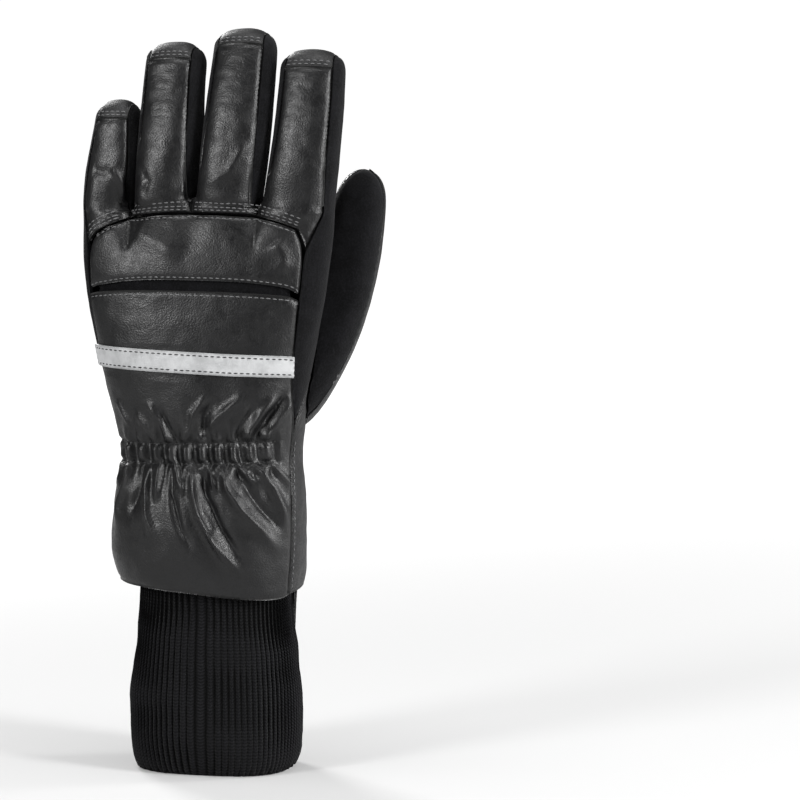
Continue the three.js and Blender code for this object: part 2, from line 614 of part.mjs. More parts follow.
// The whole hand: fingers, crotches and the rows down to the hem
function handSurface() {
  const surface = new Surface();
  const roots = fingers.map((_, i) => {
    const rings = FINGER_STATIONS.map((height) => fingerRing(i, height));
    addTip(surface, i, rings[0]);
    rings.reduce((upper, lower) => {
      surface.rows('finger_back', upper.back, lower.back);
      surface.rows('palm_panel', upper.palm, lower.palm);
      surface.rows(sideName(i, true), upper.right, lower.right);
      surface.rows(sideName(i, false), upper.left, lower.left);
      return lower;
    });
    return rings.at(-1);
  });

  const last = fingers.length - 1;
  const crotches = [];
  for (let j = 1; j <= last; j++) crotches[j] = addCrotch(surface, j, roots[j - 1], roots[j]);

  // Rows beside the crotches, where the lanes of neighbouring fingers come together
  const middle = (CROTCH_ANGLES.length - 1) / 2;
  let lanes = roots.map(({ back, palm }) => ({ back, palm }));
  let strips = { right: roots[last].right, left: roots[0].left };
  const edgeDrop = slots[1].z - crotches[1][middle][0].z;
  for (let k = 1; k <= middle; k++) {
    const drop = edgeDrop * Math.sin(CROTCH_ANGLES[k] * DEGREE);
    const lower = {
      right: outerStrip(roots[last], true, drop, 1),
      left: outerStrip(roots[0], false, drop, 1),
    };
    surface.rows('side_strip_index', strips.right, lower.right);
    surface.rows('side_strip_little', strips.left, lower.left);
    const next = fingers.map((_, i) => {
      const left = i === 0 ? [...lower.left].reverse() : crotches[i][CROTCH_ANGLES.length - 1 - k];
      const right = i === last ? lower.right : crotches[i + 1][k];
      return {
        back: laneRow(i, left[0], right[0], -1),
        palm: laneRow(i, right[STRIP_COLUMNS], left[STRIP_COLUMNS], 1),
      };
    });
    next.forEach((lane, i) => {
      surface.rows('finger_back', lanes[i].back, lane.back);
      surface.rows('palm_panel', lanes[i].palm, lane.palm);
    });
    lanes = next;
    strips = lower;
  }

  // Rows of the whole hand
  const joined = {
    back: [...lanes[0].back, ...lanes.slice(1).flatMap((lane) => lane.back.slice(1))],
    palm: [...lanes[last].palm, ...lanes.slice(0, last).reverse().flatMap((lane) => lane.palm.slice(1))],
    ...strips,
  };
  const tops = { back: joined.back.map((q) => q.clone()), palm: joined.palm.map((q) => q.clone()) };
  const topStrips = { right: strips.right, left: strips.left };
  const seams = fingers.slice(1).map((_, i) => (i + 1) * LANE_COLUMNS);
  const slotShares = {
    back: seams.map((column) => shareAt(joined.back[column])),
    palm: seams.map((column) => shareAt(joined.palm[fingers.length * LANE_COLUMNS - column])),
  };
  let upper = joined;
  const made = [joined];
  for (const row of BACK_ROWS) {
    const lower = handRow(row, tops, topStrips, slotShares);
    surface.rows(row.above, upper.back, lower.back);
    surface.rows('palm_panel', upper.palm, lower.palm);
    surface.rows('side_strip_index', upper.right, lower.right);
    surface.rows('side_strip_little', upper.left, lower.left);
    upper = lower;
    made.push(lower);
  }
  return { surface, rows: made };
}

function handRow(row, tops, topStrips, slotShares) {
  const count = LANE_COLUMNS * fingers.length;
  const edges = [false, true].map((right) => seamAngles(rowHeight(row, right ? 1 : -1, -1), right));
  const strip = (right) => {
    const across = right ? 1 : -1;
    const z = rowHeight(row, across, -1);
    const top = right ? topStrips.right : topStrips.left;
    const [back, palm] = edges[right ? 1 : 0];
    if (back === palm) {
      const point = handEdge(z, across * back);
      return top.map(() => point);
    }
    return top.map((above, q) => {
      const share = q / STRIP_COLUMNS;
      const angle = right ? lerp(back, palm, share) : -lerp(palm, back, share);
      const hand = handEdge(z, angle);
      const fade = lerp(LOBE_FADE.back, LOBE_FADE.palm, right ? share : 1 - share);
      const weight = smoothstep(z, above.z - fade, above.z);
      return vec(lerp(hand.x, above.x, weight), lerp(hand.y, above.y, weight), z);
    });
  };
  const right = strip(true);
  const left = strip(false);
  const lane = (start, end, sign, top, edgeAngles) => run(count, (t) => {
    const column = Math.round(t * count);
    const k = sign < 0 ? column : count - column;
    const i = Math.min(Math.floor(k / LANE_COLUMNS), fingers.length - 1);
    const [from, to] = sign < 0 ? [start, end] : [end, start];
    const section = handSection(row.z);
    const shares = [
      (from.x - section.x) / section.width,
      ...(sign < 0 ? slotShares.back : slotShares.palm),
      (to.x - section.x) / section.width,
    ];
    const within = k / LANE_COLUMNS - i;
    const across = lerp(shares[i], shares[i + 1], within);
    const z = rowHeight(row, across, sign);
    const here = handSection(z);
    const point = handPoint(here.x + across * here.width, z, sign);
    if (i === 0 || i === fingers.length - 1) {
      const angles = [angleOf(shares[i]), angleOf(shares[i + 1])];
      if (i === 0) angles[0] = -edgeAngles[0];
      else angles[1] = edgeAngles[1];
      const angle = lerp(...angles, within);
      point.lerp(handEdge(z, sign < 0 ? angle : 180 - angle), 1 - smoothstep(z, ROUND_BELOW, ROUND_ABOVE));
    }
    const fade = sign < 0 ? LOBE_FADE.back : LOBE_FADE.palm;
    const weight = smoothstep(z, top[column].z - fade, top[column].z);
    point.y = lerp(point.y, top[column].y, weight);
    return point;
  }, start, end);
  return {
    back: lane(left[STRIP_COLUMNS], right[0], -1, tops.back, edges.map(([back]) => back)),
    right,
    palm: lane(right[STRIP_COLUMNS], left[0], 1, tops.palm, edges.map(([, palm]) => 180 - palm)),
    left,
  };
}

// Gathers between the elasticated rows and the folds that fan out from them
function foldHeight(point, normal, column) {
  const section = handSection(point.z);
  const across = (point.x - section.x) / section.width;
  const face = normal.y < 0 ? 'back' : 'palm';
  let height = 0;
  for (const fold of FOLDS.filter((row) => row.side === face)) {
    const from = vec(section.x + fold.from[0] * section.width, 0, fold.from[1]);
    const to = vec(section.x + fold.to[0] * section.width, 0, fold.to[1]);
    const line = new THREE.Line3(from, to);
    const here = vec(point.x, 0, point.z);
    const t = line.closestPointToPointParameter(here, false);
    const away = line.closestPointToPoint(here, true, vec(0, 0, 0)).distanceTo(here);
    const ends = smoothstep(t, -0.15, 0.2) * (1 - smoothstep(t, 0.75, 1.15));
    height += fold.height * WALL * ends * Math.exp(-((away / (fold.width * WALL)) ** 2));
  }
  if (face === 'back') {
    const top = WRIST_Z + 0.8 * SHIRRING_PITCH;
    const bottom = WRIST_Z - 0.2 * SHIRRING_PITCH;
    const reach = RUFFLE_FADE * SHIRRING_PITCH;
    const fade = smoothstep(point.z, bottom - reach, bottom) * (1 - smoothstep(point.z, top, top + reach))
      * (1 - smoothstep(Math.abs(across), ...RUFFLE_ENDS));
    const edges = Math.min(Math.abs(point.z - top), Math.abs(point.z - bottom)) / SHIRRING_PITCH;
    const held = smoothstep(edges, 0, 0.4);
    const ruffle = (column % 2 ? 1 : -1) * lerp(RUFFLE_AT_ROW, 1, held);
    height += fade * RUFFLE_HEIGHT * (ruffle - ROW_DENT * (1 - held));
  }
  return height;
}

function foldHand(surface, rows) {
  const normals = surface.normals();
  const moves = [];
  for (const { back, palm } of rows) {
    for (const points of [back, palm]) {
      points.slice(1, -1).forEach((point, k) => {
        const normal = normals[surface.id(point)];
        moves.push([point, normal, foldHeight(point, normal, k)]);
      });
    }
  }
  for (const [point, normal, height] of moves) point.addScaledVector(normal, height);
}

// The thumb: sections along a bent spine, closed at both ends; its base lies inside the palm
function thumbSurface() {
  const surface = new Surface();
  const centres = THUMB_STATIONS.map(([, out, palm, up]) => THUMB_BASE.clone()
    .add(vec(out * THUMB_LENGTH, palm * THUMB_LENGTH, up * THUMB_LENGTH)));
  const spine = new THREE.CatmullRomCurve3(centres);
  const end = THUMB_STATIONS.length - 1;
  const rings = THUMB_STATIONS.map(([, , , , width, depth, backFront, frontInner, innerBack], k) => {
    const along = spine.getTangent(k / end);
    const across = vec(1, 0, 0).addScaledVector(along, -along.x).normalize();
    const palmward = along.clone().cross(across);
    const at = (angle) => centres[k].clone()
      .addScaledVector(across, side(angle) * width * THUMB_WIDTH / 2)
      .addScaledVector(palmward, deep(angle) * depth * THUMB_DEPTH / 2);
    if (k === 0 || k === end) {
      const pole = centres[k];
      return THUMB_PANELS.map(({ columns }) => run(columns, () => pole, pole, pole));
    }
    const seams = [backFront, frontInner, innerBack, backFront + 360];
    const corners = seams.slice(0, 3).map(at);
    corners.push(corners[0]);
    return THUMB_PANELS.map(({ columns }, j) => run(columns, (t) => at(lerp(seams[j], seams[j + 1], t)),
      corners[j], corners[j + 1]));
  });
  rings.reduce((lower, upper) => {
    THUMB_PANELS.forEach(({ name }, j) => surface.rows(name, upper[j], lower[j]));
    return upper;
  });
  return surface;
}

// Booleans
const wasm = await Module();
wasm.setup();

function toSolid(made) {
  const bare = mergeVertices(made, 1e-5);
  return new wasm.Manifold(new wasm.Mesh({
    numProp: 3,
    vertProperties: new Float32Array(bare.attributes.position.array),
    triVerts: new Uint32Array(bare.index.array),
  }));
}

function toGeometry(solid) {
  const mesh = solid.getMesh();
  const made = new THREE.BufferGeometry();
  made.setAttribute('position', new THREE.BufferAttribute(new Float32Array(mesh.vertProperties), 3));
  made.setIndex([...mesh.triVerts]);
  return made;
}

// A panel less a neighbour's envelope; slivers that the cut leaves beside the panel are not part of it
function cutBy(made, envelope) {
  const pieces = toSolid(made).subtract(envelope).decompose();
  const largest = pieces.reduce((best, piece) => (piece.volume() > best.volume() ? piece : best));
  return toGeometry(largest);
}

// A surface grown by the seam gap and closed at its hem
function envelope(surface, normals, hem) {
  const points = surface.points.map((point, id) => point.clone().addScaledVector(normals[id], SEAM_GAP));
  const triangles = surface.faces.flatMap(({ ids }) => ids);
  if (hem) {
    const ids = hem.map((point) => surface.id(point));
    const centre = points.length;
    points.push(hem.reduce((sum, point) => sum.add(point), vec(0, 0, 0)).divideScalar(hem.length));
    ids.forEach((id, k) => {
      const next = ids[(k + 1) % ids.length];
      if (id !== next) triangles.push(id, centre, next);
    });
  }
  return toSolid(geometry(points, triangles));
}

// A strip behind the slit, from behind the knuckle panel to behind the hand's back
function flexGusset() {
  const inward = (point) => point.clone()
    .addScaledVector(handNormals[hand.surface.id(point)], -WALL - SEAM_GAP);
  const rows = hand.rows.slice(SLIT_TOP, SLIT_TOP + 4).map(({ back }) => back.slice(1, -1).map(inward));
  const upper = rows[1].map((point, k) => point.clone().lerp(rows[0][k], GUSSET_OVERLAP));
  const lower = rows[2].map((point, k) => point.clone().lerp(rows[3][k], GUSSET_OVERLAP));
  const surface = new Surface();
  surface.rows('flex_gusset', upper, lower);
  return shell(surface, surface.faces, surface.normals(), 0, -GUSSET_WALL, 0);
}

// Ribbed cuff: its outside has a ridge for each rib, its inside is smooth
function cuffSize(z) {
  const table = CUFF_SECTIONS.map(([height, width, depth]) => (
    [height * CUFF_LENGTH, width * CUFF_WIDTH, depth * CUFF_DEPTH]));
  const hem = handSection(HEM_Z + CUFF_TUCK);
  const clear = WALL + FLAP_WALL + FLAP_LIFT + 2 * SEAM_GAP + FACET_SAG;
  table.push([HEM_Z + CUFF_TUCK, hem.width - clear - Math.abs(hem.x), Math.min(hem.back, hem.palm) - clear]);
  return { width: tableAt(table, z, 1), depth: tableAt(table, z, 2) };
}

function cuffPoint(z, angle, offset) {
  const { width, depth } = cuffSize(z);
  const [x, y] = [side(angle) * width, deep(angle) * depth];
  const steep = 2 - 2 / ROUNDNESS;
  const out = vec(
    Math.sign(x) * Math.abs(Math.sin(angle * DEGREE)) ** steep / width,
    Math.sign(y) * Math.abs(Math.cos(angle * DEGREE)) ** steep / depth,
    0,
  ).normalize();
  return vec(x, y, z).addScaledVector(out, offset);
}

function knitCuff() {
  const round = Math.PI * (CUFF_WIDTH + CUFF_DEPTH) / 2;
  const ribs = 2 * Math.round(round / RIB_PITCH / 2);
  const outerCount = 2 * ribs;
  const innerCount = outerCount / INNER_TO_OUTER;
  const surface = new Surface();
  const ring = (count, z, offset) => {
    const points = run(count - 1, (t) => {
      const k = Math.round(t * (count - 1));
      const ridge = count === outerCount && k % 2 ? -RIB_HEIGHT : 0;
      return cuffPoint(z, 360 * k / count, offset + ridge);
    });
    return [...points, points[0]];
  };
  const top = HEM_Z + CUFF_TUCK;
  const levels = [top, ...OUTER_LEVELS.map((share) => share * CUFF_LENGTH)];
  const outside = levels.map((z) => ring(outerCount, z, 0));
  outside.reduce((upper, lower) => {
    surface.rows('knit_cuff', upper, lower);
    return lower;
  });
  const rim = ring(innerCount, 0, -CUFF_WALL / 2);
  const inner = [CUFF_WALL / 2, ...INNER_LEVELS.map((share) => share * CUFF_LENGTH), top];
  const inside = inner.map((z) => ring(innerCount, z, -CUFF_WALL));
  fan(surface, outside.at(-1), rim);
  [rim, ...inside].reduce((upper, lower) => {
    surface.rows('knit_cuff', upper, lower);
    return lower;
  });
  fan(surface, [...outside[0]].reverse(), [...inside.at(-1)].reverse());
  return geometry(surface.points, surface.faces.flatMap(({ ids }) => ids));
}

// Facets between a ring of many points and one of few
function fan(surface, many, few) {
  const ratio = (many.length - 1) / (few.length - 1);
  for (let k = 0; k + 1 < few.length; k++) {
    const start = k * ratio;
    const half = start + ratio / 2;
    for (let m = start; m < start + ratio; m++) {
      surface.triangle('knit_cuff', many[m], m < half ? few[k] : few[k + 1], many[m + 1]);
      if (m + 1 === half) surface.triangle('knit_cuff', many[half], few[k], few[k + 1]);
    }
  }
}

// Wrist flap: a tongue over the palm side of the cuff
function wristFlap() {
  const [columns, levels] = [12, 6];
  const top = HEM_Z + FLAP_TUCK;
  const length = FLAP_LENGTH + FLAP_TUCK;
  const point = (u, s, offset) => {
    const z = top - s * length * (1 - FLAP_ROUNDING * Math.abs(u) ** FLAP_SQUARENESS);
    const half = FLAP_WIDTH / 2 * (1 - FLAP_TAPER * s);
    return cuffPoint(z, 180 - u * angleOf(half / cuffSize(z).width), offset);
  };
  const surface = new Surface();
  const rows = run(levels, (s) => run(columns, (t) => point(1 - 2 * t, s, FLAP_LIFT)));
  rows.reduce((upper, lower) => {
    surface.rows('wrist_flap', upper, lower);
    return lower;
  });
  return shell(surface, surface.faces, surface.normals(), FLAP_WALL, 0, 0);
}

const glove = new THREE.Group();
function add(name, made, finish) {
  const mesh = new THREE.Mesh(made, new THREE.MeshStandardMaterial(finish));
  mesh.name = name;
  glove.add(mesh);
}

const hand = handSurface();
foldHand(hand.surface, hand.rows);
const handNormals = hand.surface.normals();
const thumb = thumbSurface();
const thumbNormals = thumb.normals();

const hemRow = hand.rows.at(-1);
const hem = [...hemRow.back, ...hemRow.palm].filter((point, k, all) => point !== all[(k + 1) % all.length]);
const handEnvelope = envelope(hand.surface, handNormals, hem);
const thumbEnvelope = envelope(thumb, thumbNormals);

function panelOf(surface, normals, name) {
  const faces = surface.faces.filter((face) => face.panel === name);
  return shell(surface, faces, normals, 0, -WALL, SEAM_GAP / 2);
}

// Pieces of the hand; those that the thumb comes out of are cut by it
const HAND_PIECES = {
  finger_back: { finish: LEATHER },
  knuckle_panel: { finish: LEATHER },
  hand_back: { finish: LEATHER, byThumb: true },
  palm_panel: { finish: DOTTED_LEATHER, byThumb: true },
  side_strip_little: { finish: SUEDE },
  side_strip_index: { finish: SUEDE, byThumb: true },
};
for (const { name } of fingers) HAND_PIECES[`finger_cap_${name}`] = { finish: CAP_LEATHER };
for (let j = 1; j < fingers.length; j++) HAND_PIECES[sideName(j, false)] = { finish: SUEDE };
for (const [name, { finish, byThumb }] of Object.entries(HAND_PIECES)) {
  const made = panelOf(hand.surface, handNormals, name);
  add(name, byThumb ? cutBy(made, thumbEnvelope) : made, finish);
}

const THUMB_FINISH = { thumb_front: LEATHER, thumb_inner: DOTTED_LEATHER, thumb_back: SUEDE };
for (const { name } of THUMB_PANELS) {
  add(name, cutBy(panelOf(thumb, thumbNormals, name), handEnvelope), THUMB_FINISH[name]);
}

// Facets of the back between two rows
const backBand = (from, to) => {
  const ids = hand.rows.slice(from, to + 1).map(({ back }) => back.map((point) => hand.surface.id(point)));
  const inBand = new Set(ids.flat());
  return hand.surface.faces.filter((face) => face.ids.every((id) => inBand.has(id)));
};
const tapeFaces = backBand(TAPE_TOP + 1, TAPE_TOP + 2);
const tapeBand = shell(hand.surface, tapeFaces, handNormals, SEAM_GAP + TAPE_WALL, SEAM_GAP, SEAM_GAP);
add('reflective_tape', tapeBand, TAPE);
add('flex_gusset', flexGusset(), SUEDE);

add('wrist_flap', wristFlap(), DOTTED_LEATHER);
add('knit_cuff', knitCuff(), KNIT);

export default glove;
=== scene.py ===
"""Left-hand firefighter glove on its knitted cuff, seen on the back of the hand.
Metres, +Z to the fingertips, +X to the thumb side, back of the hand to -Y."""

import math

import bmesh
import bpy
import numpy as np
from mathutils import Matrix, Vector, noise
from mathutils.bvhtree import BVHTree
from mathutils.kdtree import KDTree


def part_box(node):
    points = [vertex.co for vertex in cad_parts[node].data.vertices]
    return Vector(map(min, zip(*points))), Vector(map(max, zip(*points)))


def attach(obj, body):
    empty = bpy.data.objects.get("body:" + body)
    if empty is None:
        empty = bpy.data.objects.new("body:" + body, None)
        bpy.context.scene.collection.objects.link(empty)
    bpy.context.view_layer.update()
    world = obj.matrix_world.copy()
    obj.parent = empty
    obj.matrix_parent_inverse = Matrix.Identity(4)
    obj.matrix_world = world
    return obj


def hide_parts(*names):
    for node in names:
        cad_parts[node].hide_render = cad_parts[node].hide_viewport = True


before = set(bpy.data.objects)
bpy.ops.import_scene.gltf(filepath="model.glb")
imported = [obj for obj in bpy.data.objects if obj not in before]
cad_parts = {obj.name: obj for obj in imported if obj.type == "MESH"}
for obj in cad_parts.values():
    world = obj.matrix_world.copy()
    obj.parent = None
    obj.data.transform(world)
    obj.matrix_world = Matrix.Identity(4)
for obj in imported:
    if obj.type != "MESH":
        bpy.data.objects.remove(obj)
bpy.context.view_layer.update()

MM = 0.001
FINGERS = ("little", "ring", "middle", "index")
FOURCHETTES = ("fourchette_little_ring", "fourchette_ring_middle", "fourchette_middle_index")

# Places on the glove, from the frame
HAND_LOW, HAND_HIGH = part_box("hand_back")
TAPE_LOW, TAPE_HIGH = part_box("reflective_tape")
FLAP_LOW, FLAP_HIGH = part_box("wrist_flap")
THUMB_LOW, THUMB_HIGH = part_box("thumb_front")
PALM_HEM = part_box("palm_panel")[0].z
CROTCH_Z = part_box("knuckle_panel")[1].z + 4 * MM
HAND_X = (HAND_LOW.x + HAND_HIGH.x) / 2
HAND_HALF = (HAND_HIGH.x - HAND_LOW.x) / 2
HAND_Y = -6 * MM
GATHER_TOP = TAPE_LOW.z - 30.8 * MM        # upper elasticated row, on the middle of the hand
GATHER_PITCH = 9.4 * MM                    # down to the lower one
GATHER_TILT = 1.6 * MM                     # how much higher the rows are on the thumb side
RUFFLE_PITCH = 7.4 * MM
RUFFLE_START = 8.7 * MM                    # across, at the middle of one ruffle
TAPE_TILT = 1.7 * MM                       # how much higher the tape is on the little finger's side
HEM_RISE, HEM_SLANT = 3.2, 1.8             # mm, of the whole hem and from side to side
HEM_ARCH = 5.2                             # mm, more in the middle of the back
DOT_PITCH = 1.8 * MM
COURSE = 1.5 * MM                          # height of one knitted stitch
RIBS = 82

# Sewing
STITCH_PITCH = 2.9 * MM
STITCH_LENGTH = 2.1 * MM
THREAD = 0.6 * MM
SEAM_DIP = 0.8 * MM                        # how far a sewn edge rolls in
SEAM_ROLL = 1.6 * MM                       # how far from the edge it starts
SEAM_SHADE_WIDTH = 0.9 * MM                       # width of the painted shade along a seam
THREAD_LIFT = 0.12 * MM                    # how far a stitch's middle lies above the leather


def smooth(low, high, value):
    t = np.clip((value - low) / (high - low), 0, 1)
    return t * t * (3 - 2 * t)


# Materials

def srgb(code):
    """Linear colour of an sRGB hex value."""
    def linear(value):
        value /= 255
        return value / 12.92 if value <= 0.04045 else ((value + 0.055) / 1.055) ** 2.4
    return (*(linear((code >> shift) & 255) for shift in (16, 8, 0)), 1)


def wire(tree, node, inputs):
    """Fills a node's inputs, each with a value or with another node's output."""
    for name, value in inputs.items():
        if isinstance(value, bpy.types.NodeSocket):
            tree.links.new(value, node.inputs[name])
        else:
            node.inputs[name].default_value = value


def add(tree, kind, inputs, out=0, **settings):
    """Adds one shader node with its settings and inputs, and returns the output that is used."""
    node = tree.nodes.new("ShaderNode" + kind)
    for name, value in settings.items():
        setattr(node, name, value)
    wire(tree, node, inputs)
    return node.outputs[out]


def new_material(name):
    material = bpy.data.materials.new(name)
    material.use_nodes = True
    tree = material.node_tree
    tree.nodes.clear()
    shader = tree.nodes.new("ShaderNodeBsdfPrincipled")
    output = tree.nodes.new("ShaderNodeOutputMaterial")
    wire(tree, output, {"Surface": shader.outputs[0]})
    return material, tree, shader


def cowhide(name, base, worn, gloss):
    """Finished cowhide, tanned black and plated: a semi-gloss face with a fine pebble and creases
    that break up the light, a little greyer in patches, with painted shade in the pebble's
    furrows and along the seams."""
    material, tree, shader = new_material(name)
    place = add(tree, "TexCoord", {}, "Object")
    patches = add(tree, "TexNoise", {"Vector": place, "Scale": 1 / (26 * MM), "Detail": 4.0})
    creases = add(tree, "TexNoise", {"Vector": place, "Scale": 1 / (5 * MM), "Detail": 6.0,
                                     "Distortion": 0.9})
    wobble = add(tree, "TexNoise", {"Vector": place, "Scale": 1 / (2 * MM), "Detail": 2.0}, "Color")
    bent = add(tree, "VectorMath", {0: wobble, 1: (0.5 * MM,) * 3, 2: place}, operation="MULTIPLY_ADD")
    pebble = add(tree, "TexVoronoi", {"Vector": bent, "Scale": 1 / (0.8 * MM)}, "Distance")
    furrows = add(tree, "MapRange", {"Value": pebble, "From Min": 0.35, "From Max": 0.75})
    seam_shade = add(tree, "Attribute", {}, "Fac", attribute_name="seam_shade")
    tone = add(tree, "MapRange", {"Value": patches, "From Min": 0.35, "From Max": 0.7})
    face = add(tree, "Mix", {0: tone, 6: srgb(base), 7: srgb(worn)}, 2, data_type="RGBA")
    # Painted shade: the pebble's sunken furrows are darkened toward near black.
    furrow_shade = add(tree, "Math", {0: furrows, 1: 0.35}, operation="MULTIPLY")
    face = add(tree, "Mix", {0: furrow_shade, 6: face, 7: srgb(0x080808)}, 2, data_type="RGBA")
    # Painted shade along the seams, where the panel's edge rolls in.
    face = add(tree, "Mix", {0: seam_shade, 6: face, 7: srgb(0x070707)}, 2, data_type="RGBA")
    dull = add(tree, "MapRange", {"Value": creases, "From Min": 0.3, "From Max": 0.7,
                                  "To Min": gloss - 0.07, "To Max": gloss + 0.07})
    dull = add(tree, "Math", {0: furrows, 1: 0.12, 2: dull}, operation="MULTIPLY_ADD")
    folds = add(tree, "Bump", {"Height": creases, "Distance": 0.14 * MM})
    grain = add(tree, "Bump", {"Height": pebble, "Distance": 0.085 * MM, "Normal": folds}, invert=True)
    shader.inputs["Specular IOR Level"].default_value = 0.45
    wire(tree, shader, {"Base Color": face, "Roughness": dull, "Normal": grain})
    return material


def dotted_leather(name):
    """Grip leather with a printed and pressed grid of dots: a satin dark grey face, black in the dots."""
    material, tree, shader = new_material(name)
    place = add(tree, "TexCoord", {}, "Object")
    flat = add(tree, "UVMap", {}, uv_map="flat")
    grid = add(tree, "Mapping", {"Vector": flat, "Rotation": (0, 0, math.radians(45)),
                                 "Scale": (1 / DOT_PITCH,) * 3})
    cells = add(tree, "TexVoronoi", {"Vector": grid, "Scale": 1.0, "Randomness": 0.12}, "Distance",
                voronoi_dimensions="2D")
    dots = add(tree, "MapRange", {"Value": cells, "From Min": 0.31, "From Max": 0.44,
                                  "To Min": 1.0, "To Max": 0.0})
    patches = add(tree, "TexNoise", {"Vector": place, "Scale": 1 / (20 * MM), "Detail": 4.0})
    creases = add(tree, "TexNoise", {"Vector": place, "Scale": 1 / (4 * MM), "Detail": 5.0,
                                     "Distortion": 0.8})
    pores = add(tree, "TexNoise", {"Vector": place, "Scale": 1 / (0.6 * MM), "Detail": 3.0})
    seam_shade = add(tree, "Attribute", {}, "Fac", attribute_name="seam_shade")
    tone = add(tree, "MapRange", {"Value": patches, "From Min": 0.35, "From Max": 0.7})
    face = add(tree, "Mix", {0: tone, 6: srgb(0x222223), 7: srgb(0x323233)}, 2, data_type="RGBA")
    face = add(tree, "Mix", {0: dots, 6: face, 7: srgb(0x000000)}, 2, data_type="RGBA")
    # Painted shade along the seams, where the panel's edge rolls in.
    face = add(tree, "Mix", {0: seam_shade, 6: face, 7: srgb(0x0B0B0B)}, 2, data_type="RGBA")
    dull = add(tree, "MapRange", {"Value": creases, "From Min": 0.3, "From Max": 0.7,
                                  "To Min": 0.30, "To Max": 0.46})
    dull = add(tree, "Math", {0: dots, 1: 0.40, 2: dull}, operation="MULTIPLY_ADD")
    folds = add(tree, "Bump", {"Height": creases, "Distance": 0.25 * MM})
    pressed = add(tree, "Bump", {"Height": dots, "Distance": 0.22 * MM, "Normal": folds}, invert=True)
    grain = add(tree, "Bump", {"Height": pores, "Distance": 0.07 * MM, "Normal": pressed})
    shader.inputs["Specular IOR Level"].default_value = 0.45
    wire(tree, shader, {"Base Color": face, "Roughness": dull, "Normal": grain})
    return material


def suede(name):
    """Split leather with a brushed nap: black, without gloss, soft at its outline."""
    material, tree, shader = new_material(name)
    place = add(tree, "TexCoord", {}, "Object")
    nap = add(tree, "TexNoise", {"Vector": place, "Scale": 1 / (0.9 * MM), "Detail": 5.0})
    brushed = add(tree, "TexNoise", {"Vector": place, "Scale": 1 / (9 * MM), "Detail": 4.0,
                                     "Distortion": 0.6})
    tone = add(tree, "MapRange", {"Value": brushed, "From Min": 0.3, "From Max": 0.75})
    fibres = add(tree, "MapRange", {"Value": nap, "From Min": 0.45, "From Max": 0.8, "To Max": 0.5})
    face = add(tree, "Mix", {0: tone, 6: srgb(0x050506), 7: srgb(0x101012)}, 2, data_type="RGBA")
    face = add(tree, "Mix", {0: fibres, 6: face, 7: srgb(0x202023)}, 2, data_type="RGBA")
    shader.inputs["Roughness"].default_value = 0.95
    shader.inputs["Specular IOR Level"].default_value = 0.12
    shader.inputs["Sheen Weight"].default_value = 0.05
    shader.inputs["Sheen Roughness"].default_value = 0.5
    waves = add(tree, "Bump", {"Height": brushed, "Distance": 0.5 * MM})
    fuzz = add(tree, "Bump", {"Height": nap, "Distance": 0.25 * MM, "Normal": waves})
    wire(tree, shader, {"Base Color": face, "Normal": fuzz})
    return material


def rib_knit(name):
    """Aramid rib knit: matt black yarn, each rib a column of small V stitches;
    the loops carry painted light and shade, and the grooves between ribs painted shade.
    """
    material, tree, shader = new_material(name)
    place = add(tree, "TexCoord", {}, "Object")
    flat = add(tree, "UVMap", {}, uv_map="flat")
    across = add(tree, "SeparateXYZ", {0: flat}, "X")
    up = add(tree, "SeparateXYZ", {0: flat}, "Y")
    fold = add(tree, "Math", {0: across, 1: 0.5}, operation="PINGPONG")
    slant = add(tree, "Math", {0: fold, 1: 1.3, 2: up}, operation="MULTIPLY_ADD")
    turns = add(tree, "Math", {0: slant, 1: 2 * math.pi}, operation="MULTIPLY")
    loops = add(tree, "Math", {0: turns}, operation="SINE")
    loops = add(tree, "MapRange", {"Value": loops, "From Min": -1.0})
    groove = add(tree, "MapRange", {"Value": fold, "From Min": 0.04, "From Max": 0.30})
    fuzz = add(tree, "TexNoise", {"Vector": place, "Scale": 1 / (0.5 * MM), "Detail": 4.0})
    wear = add(tree, "TexNoise", {"Vector": place, "Scale": 1 / (14 * MM), "Detail": 3.0})
    fibres = add(tree, "MapRange", {"Value": fuzz, "From Min": 0.5, "From Max": 0.8, "To Max": 0.6})
    worn = add(tree, "MapRange", {"Value": wear, "From Min": 0.4, "From Max": 0.8, "To Max": 0.35})
    # Painted light and shade: lighter on each stitch's raised loop, darker between the loops.
    face = add(tree, "Mix", {0: loops, 6: srgb(0x0B0B0C), 7: srgb(0x1C1C1E)}, 2, data_type="RGBA")
    face = add(tree, "Mix", {0: fibres, 6: face, 7: srgb(0x2A2A2D)}, 2, data_type="RGBA")
    face = add(tree, "Mix", {0: worn, 6: face, 7: srgb(0x0C0C0D)}, 2, data_type="RGBA")
    # Painted shade: black in the grooves between the ribs.
    face = add(tree, "Mix", {0: groove, 6: srgb(0x000000), 7: face}, 2, data_type="RGBA")
    shader.inputs["Roughness"].default_value = 0.9
    shader.inputs["Specular IOR Level"].default_value = 0.1
    shader.inputs["Sheen Weight"].default_value = 0.03
    ribs = add(tree, "Bump", {"Height": groove, "Distance": 0.7 * MM})
    yarn = add(tree, "Bump", {"Height": loops, "Distance": 0.18 * MM, "Normal": ribs})
    hairs = add(tree, "Bump", {"Height": fuzz, "Distance": 0.12 * MM, "Normal": yarn})
    wire(tree, shader, {"Base Color": face, "Normal": hairs})
    return material


